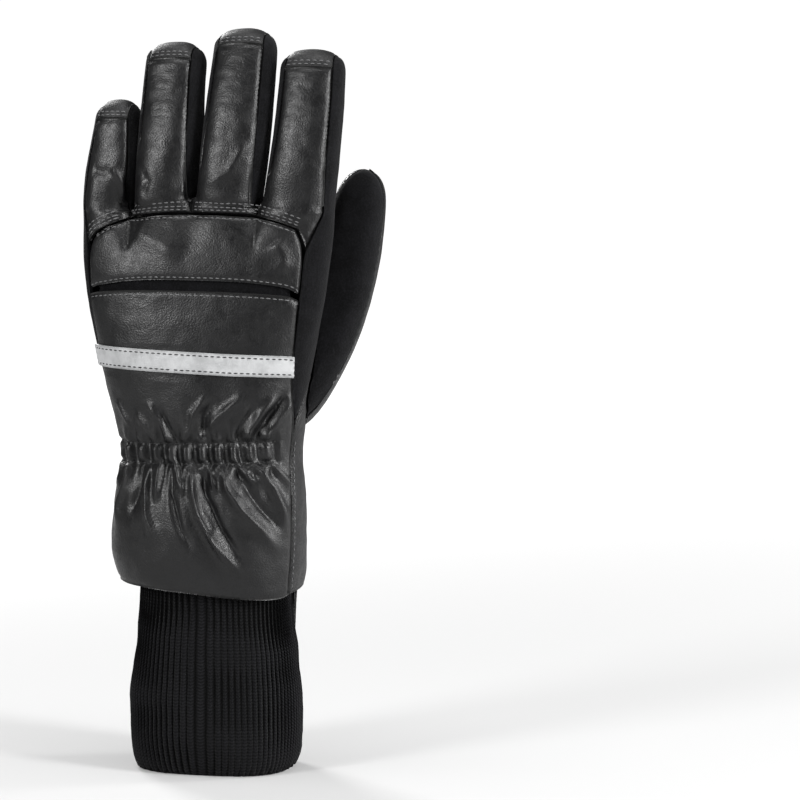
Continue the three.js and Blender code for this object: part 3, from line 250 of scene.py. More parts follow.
def reflective_fabric(name):
    """Glass-bead reflective fabric: light silver grey, faintly crumpled, soiled in patches,
    with painted shade along its stitched edges.
    """
    material, tree, shader = new_material(name)
    place = add(tree, "TexCoord", {}, "Object")
    soil = add(tree, "TexNoise", {"Vector": place, "Scale": 1 / (7 * MM), "Detail": 5.0})
    crumple = add(tree, "TexNoise", {"Vector": place, "Scale": 1 / (3.5 * MM), "Detail": 4.0,
                                     "Distortion": 1.0})
    beads = add(tree, "TexNoise", {"Vector": place, "Scale": 1 / (0.4 * MM), "Detail": 1.0})
    seam_shade = add(tree, "Attribute", {}, "Fac", attribute_name="seam_shade")
    tone = add(tree, "MapRange", {"Value": soil, "From Min": 0.45, "From Max": 0.8})
    # Painted shade along the stitched edges, where the tape rolls in.
    edge = add(tree, "MapRange", {"Value": seam_shade, "To Max": 0.5})
    face = add(tree, "Mix", {0: tone, 6: srgb(0xBEBFC0), 7: srgb(0x9A9B9C)}, 2, data_type="RGBA")
    face = add(tree, "Mix", {0: edge, 6: face, 7: srgb(0x6C6D6E)}, 2, data_type="RGBA")
    dull = add(tree, "MapRange", {"Value": soil, "From Min": 0.3, "From Max": 0.7,
                                  "To Min": 0.4, "To Max": 0.55})
    folds = add(tree, "Bump", {"Height": crumple, "Distance": 0.3 * MM})
    fine = add(tree, "Bump", {"Height": beads, "Distance": 0.03 * MM, "Normal": folds})
    wire(tree, shader, {"Base Color": face, "Roughness": dull, "Normal": fine})
    return material


def sewing_thread(name, dark, light):
    """Bonded sewing thread: twisted plies, slightly waxy."""
    material, tree, shader = new_material(name)
    place = add(tree, "TexCoord", {}, "Object")
    twist = add(tree, "TexNoise", {"Vector": place, "Scale": 1 / (0.5 * MM), "Detail": 2.0})
    face = add(tree, "Mix", {0: twist, 6: srgb(dark), 7: srgb(light)}, 2, data_type="RGBA")
    shader.inputs["Roughness"].default_value = 0.5
    plies = add(tree, "Bump", {"Height": twist, "Distance": 0.08 * MM})
    wire(tree, shader, {"Base Color": face, "Normal": plies})
    return material


HAND_HIDE = cowhide("semi_gloss_cowhide", 0x0C0C0D, 0x181819, 0.36)
TIP_HIDE = cowhide("matt_cowhide", 0x131314, 0x1C1C1D, 0.50)
GRIP_LEATHER = dotted_leather("dotted_grip_leather")
NAP = suede("black_split_suede")
KNIT = rib_knit("black_aramid_rib_knit")
TAPE = reflective_fabric("silver_reflective_fabric")
GREY_THREAD = sewing_thread("grey_bonded_thread", 0x4C4C4D, 0x767677)
BLACK_THREAD = sewing_thread("black_bonded_thread", 0x161617, 0x2A2A2B)


# Middle lines of the fingers, thumb and hand, to tell a panel's outside from its inside

def finger_lines():
    slots = [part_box("side_strip_little")[0].x]
    slots += [(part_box(node)[0].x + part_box(node)[1].x) / 2 for node in FOURCHETTES]
    slots += [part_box("side_strip_index")[1].x]
    lines = []
    for finger, left, right in zip(FINGERS, slots, slots[1:]):
        low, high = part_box(f"finger_cap_{finger}")
        lines.append(((left + right) / 2, (low.x + high.x) / 2, (low.y + high.y) / 2, high.z))
    return lines


FINGER_LINES = finger_lines()


def middle_of(places, thumb):
    """The point of the nearest middle line for each place."""
    x, y, z = places.T
    if thumb:
        t = np.clip((z - THUMB_LOW.z) / (THUMB_HIGH.z - THUMB_LOW.z), 0, 1)
        bent = np.sqrt(t)
        return np.stack([32 * MM + bent * 31 * MM, 14 * MM + bent * 12 * MM, z], 1)
    middle = np.stack([np.clip(x, HAND_X - HAND_HALF + 24 * MM, HAND_X + HAND_HALF - 24 * MM),
                       np.full_like(x, HAND_Y), z], 1)
    nearest = np.full_like(x, 1e9)
    for root_x, tip_x, tip_y, tip_z in FINGER_LINES:
        t = np.clip((z - CROTCH_Z) / (tip_z - CROTCH_Z), 0, 1)
        line_x = root_x + (tip_x - root_x) * np.sin(t * math.pi / 2)
        line_y = HAND_Y + (tip_y - HAND_Y) * t ** 2
        away = np.hypot(x - line_x, y - line_y)
        here = (z > CROTCH_Z) & (away < nearest)
        nearest = np.where(here, away, nearest)
        top = np.minimum(z, tip_z - 12 * MM)
        for column, value in enumerate((line_x, line_y, top)):
            middle[:, column] = np.where(here, value, middle[:, column])
    return middle


def hem_rise(places):
    """How much higher the worn gauntlet's hem hangs: a slant from the little finger down to the thumb."""
    across, y = (places[:, 0] - HAND_X) / HAND_HALF, places[:, 1]
    back, palm = 1 - smooth(-20 * MM, 5 * MM, y), smooth(0, 25 * MM, y)
    rise = (HEM_RISE - HEM_SLANT * across) * (1 - palm) + HEM_ARCH * (1 - across ** 2) * back
    return rise * MM * (1 - smooth(HAND_LOW.z, HAND_LOW.z + 45 * MM, places[:, 2]))


# Folds: points (across, up) in mm on the panel, width and height in mm

FOLD_DEPTH = 1.6
PALM_FOLD_FACTOR = 1.8
BACK_FOLDS = [
    ([(-4.1, 150.6), (-3.1, 136.3), (0.0, 124.9), (6.7, 113.4), (13.3, 103.3), (18.7, 92.9)], 2.2, 1.8),
    ([(9.0, 150.8), (12.9, 139.1), (20.2, 127.7), (28.4, 118.1), (38.0, 104.0)], 3.0, 2.2),
    ([(23.4, 151.2), (29.0, 143.3), (33.9, 136.2), (37.2, 126.5), (38.1, 112.4)], 2.4, 1.8),
    ([(16.5, 151.4), (20.6, 144.4), (29.0, 137.0)], 1.6, 1.3),
    ([(31.2, 150.0), (37.3, 141.8), (42.0, 135.0)], 1.6, 1.2),
    ([(-11.8, 150.7), (-9.9, 140.8), (-6.2, 133.5)], 1.6, 1.2),
    ([(-17.7, 151.9), (-19.8, 140.2), (-20.9, 129.0)], 1.7, 1.2),
    ([(3.1, 150.3), (6.6, 140.2), (10.0, 134.0)], 1.5, 1.0),
    ([(-27.7, 149.8), (-29.4, 136.4), (-35.7, 120.5)], 2.2, -1.3),
    ([(-1.1, 151.0), (3.1, 134.2), (11.5, 117.4), (23.7, 99.6)], 2.4, -1.3),
    ([(15.0, 149.8), (28.2, 128.7), (39.2, 114.2)], 2.0, -1.2),
    ([(-15.0, 157.8), (-18.5, 168.3), (-24.0, 174.1), (-29.5, 175.8)], 1.7, 1.2),
    ([(-11.4, 157.1), (-16.0, 167.0), (-21.9, 174.9)], 1.6, -1.0),
    ([(-5.6, 158.3), (-3.0, 171.2), (6.0, 183.2)], 2.0, 1.1),
    ([(0.4, 159.2), (2.5, 170.8), (8.2, 179.4)], 1.7, -1.2),
    ([(2.9, 164.6), (11.5, 172.4), (22.8, 181.6)], 2.2, 1.4),
    ([(16.5, 158.8), (21.7, 169.3), (28.0, 176.9)], 1.7, -1.1),
    ([(21.4, 159.6), (27.8, 171.5), (36.6, 181.2)], 2.0, 1.4),
    ([(24.9, 159.6), (33.4, 172.7), (42.0, 184.0)], 1.6, -1.3),
    ([(28.7, 159.6), (38.6, 173.4), (44.0, 184.0)], 2.0, 1.5),
    ([(-42.3, 176.0), (-38.0, 169.5), (-32.9, 161.8)], 1.4, 0.8),
    ([(-24.0, 158.8), (-27.0, 166.0), (-33.0, 172.0)], 1.6, 0.7),
    ([(-33.5, 150.0), (-37.0, 139.0), (-41.5, 127.0), (-43.0, 112.0)], 2.4, 1.4),
    ([(-23.0, 150.5), (-26.0, 138.0), (-25.0, 124.0), (-20.0, 108.0)], 2.6, 1.3),
    ([(-13.5, 150.0), (-13.0, 135.0), (-8.0, 119.0), (0.0, 104.0)], 2.2, -1.1),
    ([(-38.0, 149.0), (-41.0, 141.0), (-45.0, 133.0)], 2.0, 0.7),
    ([(5.0, 118.0), (14.0, 106.0), (22.0, 95.0)], 2.6, 1.0),
]
PALM_FOLDS = [
    ([(-58.0, 259.0), (-44.1, 250.6), (-32.4, 244.0), (-20.7, 233.5), (-10.5, 223.9), (2.0, 216.3)],
     4.0, 1.9),
    ([(-54.0, 266.0), (-30.1, 254.7), (-20.7, 246.1), (-9.1, 238.8), (6.9, 230.3)], 4.0, -1.5),
    ([(-52.0, 224.3), (-35.7, 216.2), (-20.7, 208.0), (-4.4, 202.5), (9.2, 191.3)], 3.6, 1.6),
    ([(-52.0, 235.6), (-30.1, 226.5), (-11.4, 214.6), (6.9, 204.8)], 3.4, -1.4),
    ([(-50.0, 206.0), (-30.1, 198.8), (-19.8, 187.3), (-13.7, 173.3), (-15.1, 160.0)], 3.4, 1.5),
    ([(-50.0, 191.7), (-30.1, 182.3), (-23.1, 170.6)], 3.0, -1.3),
    ([(-50.0, 172.6), (-31.0, 168.3), (-18.7, 158.7)], 2.8, -1.3),
    ([(6.8, 173.6), (-1.2, 155.0), (-9.1, 141.3), (-21.6, 129.7), (-32.8, 117.3), (-38.6, 102.9)], 3.0, 1.9),
    ([(-2.0, 170.4), (-8.6, 151.7), (-19.8, 139.8), (-33.9, 126.3), (-43.4, 110.9)], 2.8, -1.4),
    ([(-23.4, 161.7), (-33.9, 147.1), (-43.4, 133.5)], 2.8, 1.3),
    ([(16.6, 262.8), (13.8, 249.6), (17.5, 236.1), (16.5, 220.2)], 3.0, 1.5),
    ([(26.0, 256.0), (23.0, 246.0), (26.0, 236.0), (25.0, 224.0)], 4.5, -0.6),
    ([(-1.1, 243.3), (-4.9, 257.7), (-13.4, 268.7)], 3.0, 1.2),
    ([(-30.0, 268.0), (-41.2, 277.8), (-47.0, 282.0)], 2.6, 1.0),
    ([(26.6, 266.6), (14.2, 262.5), (2.0, 265.7)], 2.6, -0.7),
    ([(25.0, 304.5), (16.0, 303.4), (7.0, 303.9)], 2.2, -0.45),
    ([(25.0, 307.5), (16.0, 306.6), (7.0, 307.0)], 1.8, 0.6),
    ([(-5.0, 297.0), (-14.0, 295.6), (-24.0, 297.0)], 2.2, -0.4),
    ([(-5.0, 281.0), (-14.0, 279.0), (-26.0, 283.0)], 2.2, 0.9),
    ([(57.0, 287.0), (46.0, 284.6), (34.0, 287.4)], 2.4, -0.45),
    ([(57.0, 279.0), (46.0, 276.0), (32.0, 280.4)], 2.4, 1.0),
    ([(-36.0, 283.0), (-44.0, 286.0), (-52.0, 284.0)], 2.4, -0.4),
]
KNUCKLE_FOLDS = [
    ([(-34.0, 256.0), (-20.0, 250.0), (-8.0, 244.0)], 6.0, 0.9),
    ([(34.0, 252.0), (38.0, 246.0), (40.0, 236.0)], 5.0, 0.9),
]
FINGER_FOLDS = [
    ([(-31.0, 283.0), (-27.0, 278.0), (-31.0, 270.0)], 2.2, -0.5),
    ([(-6.0, 284.0), (-10.0, 276.0), (-15.0, 270.0)], 2.2, 0.6),
    ([(20.0, 298.0), (12.0, 284.0), (-2.0, 276.0)], 2.8, 0.5),
    ([(-46.0, 285.0), (-41.0, 277.0), (-40.0, 268.0)], 1.8, 0.8),
    ([(-56.0, 283.0), (-50.0, 282.0), (-45.0, 284.0)], 2.0, -0.5),
]


def fold_height(places, folds):
    """Ridges and dents along bent lines; both ends of a fold fade."""
    here = places[:, [0, 2]]
    total = np.zeros(len(places))
    for line, width, height in folds:
        points = np.array(line) * MM
        lengths = np.linalg.norm(np.diff(points, axis=0), axis=1)
        best, fade = np.full(len(places), 1e9), np.zeros(len(places))
        done = 0.0
        for a, b, length in zip(points, points[1:], lengths):
            t = np.clip(((here - a) @ (b - a)) / length ** 2, 0, 1)
            away = np.linalg.norm(here - (a + t[:, None] * (b - a)), axis=1)
            share = (done + t * length) / lengths.sum()
            closer = away < best
            best = np.where(closer, away, best)
            fade = np.where(closer, smooth(0, 0.15, share) * (1 - smooth(0.65, 1, share)), fade)
            done += length
        wide = width * MM * (0.8 + 0.5 * (1 - fade))
        total += FOLD_DEPTH * height * MM * fade * np.exp(-(best / wide) ** 1.6)
    return total


def gather_row(x, row):
    """Height of an elasticated row, 0 the upper one and 1 the lower."""
    return GATHER_TOP - row * GATHER_PITCH + GATHER_TILT * (x - HAND_X) / HAND_HALF


def gather_height(places):
    """Narrow ruffles between the elasticated rows, running out above and below them."""
    x, z = places[:, 0], places[:, 2]
    upper, lower = z - gather_row(x, 0), z - gather_row(x, 1)
    fanned = x + 0.10 * np.maximum(lower, 0) - 0.25 * np.minimum(lower, 0) * (x > -8 * MM)
    ruffle = np.cos((fanned - RUFFLE_START) / RUFFLE_PITCH * 2 * math.pi)
    ruffle = np.sign(ruffle) * abs(ruffle) ** 0.8
    reach = np.exp(-np.maximum(upper, 0) / (6 * MM)) * np.exp(np.minimum(lower, 0) / (7 * MM))
    pull = np.exp(-(np.minimum(abs(upper), abs(lower)) / (1.3 * MM)) ** 2)
    inside = 1 - smooth(0.68, 0.86, abs(x - HAND_X) / HAND_HALF)
    return inside * MM * (reach * 1.5 * ruffle * (1 - 0.55 * pull) - 1.1 * pull)


def relief_noise(places, size, seed, stretch=(1, 1, 1)):
    offset = Vector((seed, 2 * seed, 3 * seed))
    return np.array([noise.noise(Vector(place) + offset) for place in places / size / np.array(stretch)])


# Meshes

def deselect():
    bpy.ops.object.select_all(action="DESELECT")


def smooth_copy(node, name, levels):
    """A copy of a panel's solid with round faces and sharp worked edges."""
    piece = bpy.data.objects.new(name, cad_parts[node].data.copy())
    bpy.context.scene.collection.objects.link(piece)
    piece.data.materials.clear()
    deselect()
    piece.select_set(True)
    bpy.context.view_layer.objects.active = piece
    bpy.ops.object.mode_set(mode="EDIT")
    bpy.ops.mesh.select_all(action="SELECT")
    bpy.ops.mesh.remove_doubles(threshold=0.004 * MM)
    bpy.ops.mesh.tris_convert_to_quads(face_threshold=math.radians(60), shape_threshold=math.radians(60))
    bpy.ops.mesh.customdata_custom_splitnormals_clear()
    bpy.ops.object.mode_set(mode="OBJECT")
    mesh = bmesh.new()
    mesh.from_mesh(piece.data)
    crease = mesh.edges.layers.float.get("crease_edge") or mesh.edges.layers.float.new("crease_edge")
    for edge in mesh.edges:
        ruffled = node == "hand_back" and abs(edge.verts[0].co.z - gather_row(HAND_X, 0.5)) < 25 * MM
        limit = math.radians(78 if ruffled else 46)
        if edge.is_manifold and edge.calc_face_angle() > limit:
            edge.seam = True
            edge[crease] = 1.0
    mesh.to_mesh(piece.data)
    mesh.free()
    rounder = piece.modifiers.new("Round", "SUBSURF")
    rounder.levels = rounder.render_levels = levels
    bpy.ops.object.modifier_apply(modifier=rounder.name)
    return piece


def split_long_edges(piece, longest, rounds=2):
    mesh = bmesh.new()
    mesh.from_mesh(piece.data)
    for _ in range(rounds):
        edges = [edge for edge in mesh.edges if edge.calc_length() > longest]
        if edges:
            bmesh.ops.subdivide_edges(mesh, edges=edges, cuts=1, use_grid_fill=True)
    mesh.to_mesh(piece.data)
    mesh.free()


def read(piece):
    """Places and normals of a mesh's points."""
    count = len(piece.data.vertices)
    places, normals = np.zeros(count * 3), np.zeros(count * 3)
    piece.data.vertices.foreach_get("co", places)
    piece.data.vertex_normals.foreach_get("vector", normals)
    return places.reshape(-1, 3), normals.reshape(-1, 3)


def sides(places, normals, thumb):
    """How far each point belongs to a panel's outside and to its inside; a worked edge to neither."""
    out = places - middle_of(places, thumb)
    out /= np.linalg.norm(out, axis=1, keepdims=True) + 1e-9
    facing = (out * normals).sum(1)
    return smooth(0.05, 0.45, facing), smooth(0.05, 0.45, -facing)


def seam_chains(piece, thumb):
    """The outer worked edges as chains of (place, normal, way in from the edge)."""
    mesh = bmesh.new()
    mesh.from_mesh(piece.data)
    steps = {}
    for edge in mesh.edges:
        if not edge.seam or len(edge.link_faces) != 2:
            continue
        centre = (edge.verts[0].co + edge.verts[1].co) / 2
        out = centre - Vector(middle_of(np.array([centre]), thumb)[0])
        out.normalize()
        face = max(edge.link_faces, key=lambda side: side.normal.dot(out))
        if face.normal.dot(out) < 0.35:
            continue
        for loop in face.loops:
            if loop.edge == edge:
                steps.setdefault(loop.vert.index, []).append(
                    (loop.link_loop_next.vert.index, face.normal.copy()))
    places = [point.co.copy() for point in mesh.verts]
    mesh.free()
    chains = []
    ends = {target for targets in steps.values() for target, _ in targets}
    starts = [index for index in steps if index not in ends] + list(steps)
    for start in starts:
        chain = []
        index = start
        while steps.get(index):
            target, normal = steps[index].pop()
            along = (places[target] - places[index]).normalized()
            chain.append((places[index], normal, normal.cross(along)))
            index = target
        if len(chain) > 1:
            chains.append(chain)
    return chains


def move(piece, places):
    piece.data.vertices.foreach_set("co", places.ravel())
    piece.data.update()


def set_attribute(piece, name, values):
    made = piece.data.attributes.new(name, "FLOAT", "POINT")
    made.data.foreach_set("value", values.astype(np.float32))


def nearest_distance(places, points):
    tree = KDTree(len(points))
    for index, point in enumerate(points):
        tree.insert(point, index)
    tree.balance()
    return np.array([tree.find(place)[2] for place in places])


def even_out(piece, chains):
    """Smooths the panel inside its worked edges."""
    places, _ = read(piece)
    away = nearest_distance(places, [place for chain in chains for place, _, _ in chain])
    piece.data.vertices.foreach_set("select", away > 2.5 * MM)
    bpy.ops.object.mode_set(mode="EDIT")
    bpy.ops.mesh.select_mode(type="VERT")
    bpy.ops.mesh.vertices_smooth(factor=0.5, repeat=60)
    bpy.ops.object.mode_set(mode="OBJECT")


def finished(piece, node, material, slot):
    """Shading, finish and the calls that tie a piece to the frame."""
    deselect()
    piece.select_set(True)
    bpy.context.view_layer.objects.active = piece
    bpy.ops.object.shade_smooth_by_angle(angle=math.radians(60))
    piece.data.materials.clear()
    piece.data.materials.append(material)
    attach(piece, "root")
    if node:
        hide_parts(node)
    return piece


# Stitches

def stitch_shape():
    """One stitch: a short thread, thick in the middle and sunk at both ends, lying along X."""
    deselect()
    bpy.ops.mesh.primitive_cylinder_add(vertices=6, radius=THREAD / 2, depth=STITCH_LENGTH,
                                        rotation=(0, math.pi / 2, 0), calc_uvs=False)
    shape = bpy.context.object
    bpy.ops.object.transform_apply(location=False, rotation=True, scale=True)
    mesh = bmesh.new()
    mesh.from_mesh(shape.data)
    long_edges = [edge for edge in mesh.edges if edge.calc_length() > STITCH_LENGTH * 0.9]
    bmesh.ops.subdivide_edges(mesh, edges=long_edges, cuts=2)
    for point in mesh.verts:
        share = abs(point.co.x) / (STITCH_LENGTH / 2)
        point.co.z -= 0.7 * THREAD * share ** 2
        point.co.y *= 1 - 0.45 * share ** 4
    mesh.to_mesh(shape.data)
    mesh.free()
    data = shape.data
    bpy.data.objects.remove(shape)
    return data


STITCH = stitch_shape()


def stitch_places(row):
    """Where the stitches of a row lie: (place, along, normal), spread evenly over its length."""
    lengths = [0.0]
    for (a, _), (b, _) in zip(row, row[1:]):
        lengths.append(lengths[-1] + (b - a).length)
    count = max(1, round(lengths[-1] / STITCH_PITCH))
    for k in range(count):
        at = (k + 0.5) * lengths[-1] / count
        i = min(max(j for j, length in enumerate(lengths) if length <= at), len(row) - 2)
        (start, lie), (end, next_lie) = row[i], row[i + 1]
        t = (at - lengths[i]) / max(lengths[i + 1] - lengths[i], 1e-9)
        normal = lie.lerp(next_lie, t).normalized()
        along = end - start
        yield start.lerp(end, t), (along - normal * along.dot(normal)).normalized(), normal


def sew(name, rows, material, slot):
    """Copies of the stitch along rows of (place, normal) points, joined to one piece."""
    deselect()
    copies = []
    for row in rows:
        if len(row) < 2:
            continue
        for place, along, normal in stitch_places(row):
            turn = Matrix((along, normal.cross(along), normal)).transposed()
            copy = bpy.data.objects.new(name, STITCH.copy())
            copy.data.transform(Matrix.Translation(place + normal * THREAD_LIFT) @ turn.to_4x4())
            bpy.context.scene.collection.objects.link(copy)
            copy.select_set(True)
            copies.append(copy)
    piece = copies[0]
    bpy.context.view_layer.objects.active = piece
    bpy.ops.object.join()
    return finished(piece, None, material, slot)


def even(row):
    """A row without the steps of the mesh it was read from."""
    points = [place for place, _ in row]
    for _ in range(3):
        middle = [(a + 2 * b + c) / 4 for a, b, c in zip(points, points[1:], points[2:])]
        points = [points[0]] + middle + [points[-1]]
    return [(point, normal) for point, (_, normal) in zip(points, row)]


def rows_from(chains, tree, choose, inset):
    """Rows inside the chosen stretches of a panel's worked edges, laid on its surface."""
    rows = []
    for chain in chains:
        row = []
        for (place, normal, inward), (after, _, _) in zip(chain, chain[1:] + chain[:1]):
            along = (after - place).normalized()
            if choose(place, along, normal):
                hit, lie, _, _ = tree.find_nearest(place + inward * inset)
                if lie.dot(normal) > 0.3:
                    row.append((hit, lie))
            elif row:
                rows.append(row)
                row = []
        if row:
            rows.append(row)
    return [even(row) for row in rows if len(row) > 3]


def tree_of(piece):
    return BVHTree.FromObject(piece, bpy.context.evaluated_depsgraph_get())


# Panels of the hand: finish, slot, then broad and fine relief in mm

PANELS = {
    "finger_back": (HAND_HIDE, "cowhide", 0.55, 0.22),
    "knuckle_panel": (HAND_HIDE, "cowhide", 0.55, 0.14),
    "hand_back": (HAND_HIDE, "cowhide", 0.6, 0.20),
    "palm_panel": (GRIP_LEATHER, "dotted_leather", 0.8, 0.28),
    "side_strip_little": (NAP, "suede", 0.4, 0.1),
    "side_strip_index": (NAP, "suede", 0.4, 0.1),
    "thumb_front": (HAND_HIDE, "cowhide", 0.5, 0.1),
    "thumb_inner": (GRIP_LEATHER, "dotted_leather", 0.5, 0.2),
    "thumb_back": (NAP, "suede", 0.4, 0.1),
    "flex_gusset": (NAP, "suede", 0.0, 0.0),
    "wrist_flap": (GRIP_LEATHER, "dotted_leather", 0.25, 0.08),
}
PANELS.update({f"finger_cap_{finger}": (TIP_HIDE, "tip_leather", 0.3, 0.12) for finger in FINGERS})
PANELS.update({node: (NAP, "suede", 0.3, 0.1) for node in FOURCHETTES})
FOLDS = {"hand_back": BACK_FOLDS, "palm_panel": PALM_FOLDS, "knuckle_panel": KNUCKLE_FOLDS,
         "finger_back": FINGER_FOLDS}


def islands(mesh):
    """Groups of faces that no seam divides."""
    seen = set()
    for first in mesh.faces:
        if first.index in seen:
            continue
        island, queue = [], [first]
        seen.add(first.index)
        while queue:
            face = queue.pop()
            island.append(face)
            for edge in face.edges:
                for other in edge.link_faces:
                    if not edge.seam and other.index not in seen:
                        seen.add(other.index)
                        queue.append(other)
        yield island


def lay_flat(piece):
    """A flat pattern of the panel for its dots: unwrapped, then turned and scaled to the panel's metres."""
    deselect()
    piece.select_set(True)
    bpy.context.view_layer.objects.active = piece
    piece.data.uv_layers.new(name="flat")
    bpy.ops.object.mode_set(mode="EDIT")
    bpy.ops.mesh.select_all(action="SELECT")
    bpy.ops.uv.unwrap(method="ANGLE_BASED", margin=0.001)
    bpy.ops.object.mode_set(mode="OBJECT")
    mesh = bmesh.new()
    mesh.from_mesh(piece.data)
    layer = mesh.loops.layers.uv["flat"]
    for island in islands(mesh):
        loops = [loop for face in island for loop in face.loops]
        flat = np.array([loop[layer].uv[:] for loop in loops])
        solid = np.array([(loop.vert.co.x, loop.vert.co.z) for loop in loops])
        flat_area = sum(abs(uv_area([loop[layer].uv for loop in face.loops])) for face in island)
        scale = math.sqrt(sum(face.calc_area() for face in island) / max(flat_area, 1e-12))
        centred, target = flat - flat.mean(0), solid - solid.mean(0)
        cross = centred.T @ target
        angle = math.atan2(cross[0, 1] - cross[1, 0], cross[0, 0] + cross[1, 1])
        turn = np.array([[math.cos(angle), math.sin(angle)], [-math.sin(angle), math.cos(angle)]])
        for loop, place in zip(loops, centred @ turn * scale + solid.mean(0)):
            loop[layer].uv = place
    mesh.to_mesh(piece.data)
    mesh.free()


def uv_area(corners):
    return sum(a.x * b.y - b.x * a.y for a, b in zip(corners, corners[1:] + corners[:1])) / 2


def clear_of_neighbours(node, places, height):
    """No raised relief on the back of the hand where the reflective tape lies on it."""
    z = places[:, 2]
    if node == "hand_back":
        tilt = TAPE_TILT * (places[:, 0] - HAND_X) / HAND_HALF
        low, high = TAPE_LOW.z - tilt - 1 * MM, TAPE_HIGH.z - tilt + 1 * MM
        return np.where((z > low) & (z < high), np.minimum(height, 0), height)
    return height


def dress(node):
    material, slot, broad, fine = PANELS[node]
    thumb = node.startswith("thumb")
    fine_mesh = node in ("hand_back", "finger_back", "knuckle_panel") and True
    piece = smooth_copy(node, f"{node}_{slot}", 3 if fine_mesh else 2)
    chains = seam_chains(piece, thumb)
    split_long_edges(piece, 1.6 * MM if fine_mesh else 2.0 * MM, 1)
    if slot == "dotted_leather":
        lay_flat(piece)
    if node in ("hand_back", "palm_panel"):
        places, _ = read(piece)
        places[:, 2] += hem_rise(places)
        move(piece, places)
        chains = [[(place + Vector((0, 0, hem_rise(np.array([place]))[0])), normal, inward)
                   for place, normal, inward in chain] for chain in chains]
    if node == "knuckle_panel":
        even_out(piece, chains)
    places, normals = read(piece)
    outside, inside = sides(places, normals, thumb)
    edge_points = [place for chain in chains for place, _, _ in chain]
    away = nearest_distance(places, edge_points) if edge_points else np.full(len(places), 1.0)
    roll = np.exp(-(away / SEAM_ROLL) ** 2)
    height = broad * MM * relief_noise(places, 22 * MM, 3.1) + fine * MM * relief_noise(places, 6 * MM, 7.7)
    factor = PALM_FOLD_FACTOR if node == "palm_panel" else 1.0
    height += fold_height(places, FOLDS.get(node, [])) * factor
    if node == "hand_back":
        height += gather_height(places)
    if node == "finger_back":
        joints = smooth(8 * MM, 20 * MM, abs(places[:, 2] - (CROTCH_Z + 12 * MM)))
        height += 0.22 * MM * joints * relief_noise(places, 1.8 * MM, 9.3, (3.0, 3.0, 1))
    height = clear_of_neighbours(node, places, height)
    height *= 1 - roll
    height = (height - SEAM_DIP * roll) * outside - np.minimum(height, 0) * inside
    move(piece, places + normals * height[:, None])
    # Mask for the painted shade along the seams.
    set_attribute(piece, "seam_shade", np.exp(-(away / SEAM_SHADE_WIDTH) ** 2))
    finished(piece, node, material, slot)
    return piece, chains


def rib_numbers(places):
    """Which rib of the cuff each place lies on, whole in the grooves, from a ring of the frame's own ribs."""
    points = np.array([point.co[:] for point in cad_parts["knit_cuff"].data.vertices])
    points = np.unique(points.round(6), axis=0)
    heights, counts = np.unique(points[:, 2].round(4), return_counts=True)
    height = heights[counts == 2 * RIBS][1]
    ring = points[abs(points[:, 2] - height) < 0.06 * MM]
    angles = np.sort(np.arctan2(ring[:, 0], -ring[:, 1]))
    angles = [angles[-1] - 2 * math.pi, *angles, angles[0] + 2 * math.pi]
    turns = np.arctan2(places[:, 0], -places[:, 1])
    return np.interp(turns, angles, np.arange(-1, len(angles) - 1) / 2)


def ribbed_cuff():
    """The knitted wrist: the ribs rounded, wandering a little, with soft creases round it."""
    piece = smooth_copy("knit_cuff", "knit_cuff_rib", 2)
    split_long_edges(piece, 4.5 * MM, 1)
    places, normals = read(piece)
    low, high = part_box("knit_cuff")
    half = (high - low) / 2
    x, y = places[:, 0] / half.x, places[:, 1] / half.y
    rib = rib_numbers(places)
    wander = relief_noise(places, 30 * MM, 1.7)
    rings = relief_noise(places, 11 * MM, 4.4, (6, 6, 1))
    height = 1.1 * MM * wander + 0.9 * MM * rings
    across_flap = abs(places[:, 0]) < FLAP_HIGH.x + 3 * MM
    under_flap = (places[:, 1] > 0) & across_flap & (places[:, 2] > FLAP_LOW.z - 3 * MM)
    height = np.where(under_flap, np.minimum(height, 0), height)
    outer = smooth(-0.2, 0.2, normals[:, 0] * x + normals[:, 1] * y)
    move(piece, places + normals * (height * outer)[:, None])
    piece.data.uv_layers.new(name="flat")
    layer = piece.data.uv_layers["flat"].data
    for polygon in piece.data.polygons:
        numbers = [rib[index] for index in polygon.vertices]
        wraps = max(numbers) - min(numbers) > 20
        for loop_index, number in zip(polygon.loop_indices, numbers):
            point = piece.data.loops[loop_index].vertex_index
            number += RIBS if wraps and number < 20 else 0
            layer[loop_index].uv = (number, places[point, 2] / COURSE)
    return finished(piece, "knit_cuff", KNIT, "rib_knit")


def tape_band():
    piece = smooth_copy("reflective_tape", "reflective_tape_fabric", 2)
    chains = seam_chains(piece, False)
    split_long_edges(piece, 1.6 * MM, 2)
    places, normals = read(piece)
    away = nearest_distance(places, [place for chain in chains for place, _, _ in chain])
    outside, _ = sides(places, normals, False)
    height = 0.35 * MM * relief_noise(places, 9 * MM, 5.0) - 0.3 * MM * np.exp(-(away / (1.0 * MM)) ** 2)
    move(piece, places + normals * (height * outside)[:, None])
    # Mask for the painted shade along the tape's stitched edges.
    set_attribute(piece, "seam_shade", np.exp(-(away / (0.5 * MM)) ** 2))
    return finished(piece, "reflective_tape", TAPE, "reflective_tape"), chains


made = {node: dress(node) for node in PANELS}
tape, tape_chains = tape_band()
ribbed_cuff()


# Seams that are top-stitched

def level(along):
    return abs(along.x) > 0.55


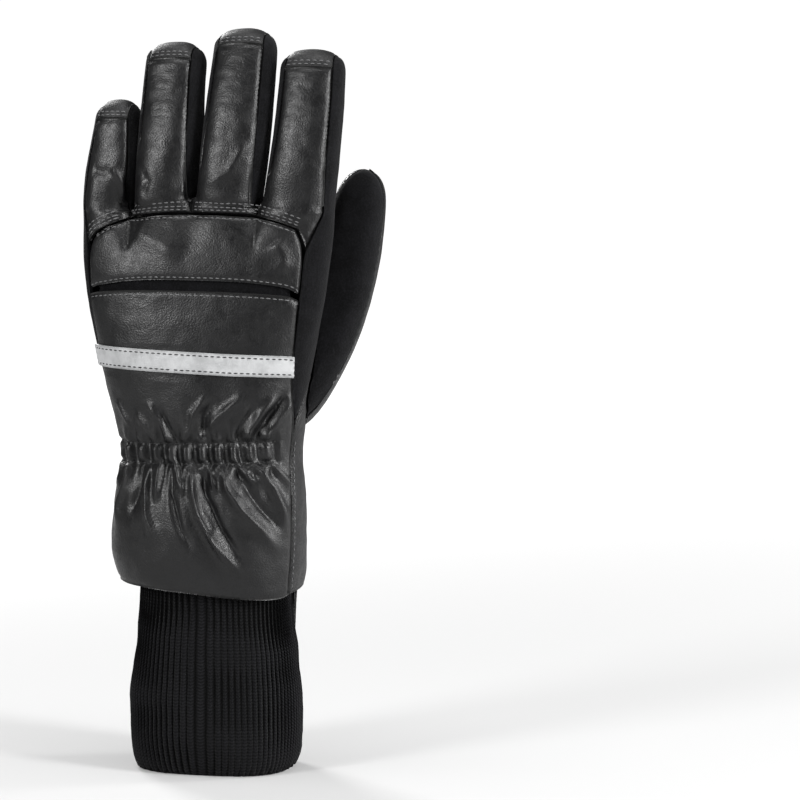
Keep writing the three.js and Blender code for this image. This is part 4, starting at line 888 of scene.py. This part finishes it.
def stitch_glove():
    rows = []
    piece, chains = made["finger_back"]
    tree = tree_of(piece)
    for inset in (1.3 * MM, 2.8 * MM, 4.8 * MM):
        rows += rows_from(chains, tree, lambda p, a, n: level(a) and p.z < CROTCH_Z - 3 * MM, inset)
    for finger in FINGERS:
        piece, chains = made[f"finger_cap_{finger}"]
        tree = tree_of(piece)
        for inset in (1.2 * MM, 2.9 * MM):
            rows += rows_from(chains, tree, lambda p, a, n: level(a) and n.y < -0.2, inset)
    piece, chains = made["knuckle_panel"]
    tree = tree_of(piece)
    rows += rows_from(chains, tree, lambda p, a, n: level(a) and a.x > 0, 1.6 * MM)
    rows += rows_from(chains, tree, lambda p, a, n: level(a) and a.x < 0, 1.6 * MM)
    piece, chains = made["hand_back"]
    tree = tree_of(piece)
    rows += rows_from(chains, tree, lambda p, a, n: level(a) and p.z > TAPE_HIGH.z + 5 * MM, 1.8 * MM)
    sew("leather_stitches", rows, GREY_THREAD, "cowhide")

    elastic = []
    for number in (0, 1):
        row = []
        steps = 110
        for k in range(steps + 1):
            x = HAND_X + HAND_HALF * (-0.72 + 1.50 * k / steps)
            hit, lie, _, _ = tree.ray_cast(Vector((x, -0.2, gather_row(x, number))), Vector((0, 1, 0)))
            if hit:
                row.append((hit, lie))
        elastic.append(row)
    sew("elastic_stitches", elastic, BLACK_THREAD, "cowhide")

    sew("tape_stitches", rows_from(tape_chains, tree_of(tape), lambda p, a, n: level(a), 1.5 * MM),
        BLACK_THREAD, "cowhide")

    piece, chains = made["thumb_front"]
    rows = rows_from(chains, tree_of(piece), lambda p, a, n: p.z < THUMB_LOW.z + 45 * MM, 1.7 * MM)
    piece, chains = made["wrist_flap"]
    rows += rows_from(chains, tree_of(piece), lambda p, a, n: p.z < PALM_HEM - 4 * MM, 2.2 * MM)
    piece, chains = made["palm_panel"]
    rows += rows_from(chains, tree_of(piece), lambda p, a, n: p.x > 20 * MM and p.z < THUMB_LOW.z
                      and abs(a.z) > 0.6, 1.7 * MM)
    sew("palm_stitches", rows, GREY_THREAD, "dotted_leather")


stitch_glove()


# Studio: a white lit card, soft light and the photograph's camera

def card_with_painted_glow():
    """White card under the softboxes, with a painted glow that only the camera sees:
    faint round the glove and full further away.
    """
    deselect()
    bpy.ops.mesh.primitive_plane_add(size=60)
    floor = bpy.context.object
    floor.name = "floor"
    material, tree, shader = new_material("white_card")
    place = add(tree, "TexCoord", {}, "Object")
    away = add(tree, "VectorMath", {0: place}, "Value", operation="LENGTH")
    glow = add(tree, "MapRange", {"Value": away, "From Min": 0.25, "From Max": 1.8,
                                  "To Min": 0.18, "To Max": 1.0}, interpolation_type="SMOOTHSTEP")
    # The glow is painted brightness for camera rays only; it lights nothing.
    seen = add(tree, "LightPath", {}, "Is Camera Ray")
    glow = add(tree, "Math", {0: glow, 1: seen}, operation="MULTIPLY")
    shader.inputs["Base Color"].default_value = srgb(0xB4B4B4)
    shader.inputs["Roughness"].default_value = 0.9
    shader.inputs["Specular IOR Level"].default_value = 0.1
    shader.inputs["Emission Color"].default_value = (1, 1, 1, 1)
    wire(tree, shader, {"Emission Strength": glow})
    floor.data.materials.append(material)


def softbox(name, place, target, size, power):
    light = bpy.data.lights.new(name, "AREA")
    light.shape = "RECTANGLE"
    light.size, light.size_y = size
    light.energy = power
    holder = bpy.data.objects.new(name, light)
    holder.location = place
    holder.rotation_euler = (Vector(target) - Vector(place)).to_track_quat("-Z", "Y").to_euler()
    bpy.context.scene.collection.objects.link(holder)


def studio():
    card_with_painted_glow()
    middle = (0, 0, 0.19)
    softbox("left_softbox", (-0.85, -1.15, 0.75), middle, (0.35, 0.7), 16)
    softbox("right_softbox", (1.15, -0.45, 0.6), middle, (0.25, 0.9), 18)
    softbox("top_softbox", (0.0, -0.15, 1.4), middle, (0.8, 0.5), 8)
    softbox("palm_softbox", (-0.75, 0.95, 0.9), middle, (0.35, 0.7), 16)
    softbox("palm_side_softbox", (1.15, 0.5, 0.5), middle, (0.25, 0.9), 10)
    world = bpy.data.worlds.new("studio")
    world.use_nodes = True
    tree = world.node_tree
    seen = add(tree, "LightPath", {}, "Is Camera Ray")
    strength = add(tree, "MapRange", {"Value": seen, "To Min": 0.07, "To Max": 1.0})
    wire(tree, tree.nodes["Background"], {"Color": (1, 1, 1, 1), "Strength": strength})
    bpy.context.scene.world = world
    bpy.context.scene.view_settings.view_transform = "Standard"


AZIMUTH, ELEVATION = math.radians(12), math.radians(7)
CAMERA_AWAY = 2.2
PICTURE = 800                              # pixels
PIXELS_PER_METRE = 2127                    # at the glove
GLOVE_PIXEL = (215.5, 399)                 # where the photograph shows the glove's middle
GLOVE_MIDDLE = Vector((0, 0, 0.175))


def photographs_camera():
    data = bpy.data.cameras.new("camera")
    data.sensor_width = 36
    data.lens = data.sensor_width * CAMERA_AWAY / (PICTURE / PIXELS_PER_METRE)
    data.clip_end = 80
    camera = bpy.data.objects.new("camera", data)
    out = Vector((math.sin(AZIMUTH) * math.cos(ELEVATION), -math.cos(AZIMUTH) * math.cos(ELEVATION),
                  math.sin(ELEVATION)))
    turn = (-out).to_track_quat("-Z", "Y")
    right, up = turn @ Vector((1, 0, 0)), turn @ Vector((0, 1, 0))
    centre = GLOVE_MIDDLE + right * ((PICTURE / 2 - GLOVE_PIXEL[0]) / PIXELS_PER_METRE)
    centre += up * ((GLOVE_PIXEL[1] - PICTURE / 2) / PIXELS_PER_METRE)
    camera.location = centre + out * CAMERA_AWAY
    camera.rotation_euler = turn.to_euler()
    bpy.context.scene.collection.objects.link(camera)
    bpy.context.scene.camera = camera


studio()
photographs_camera()
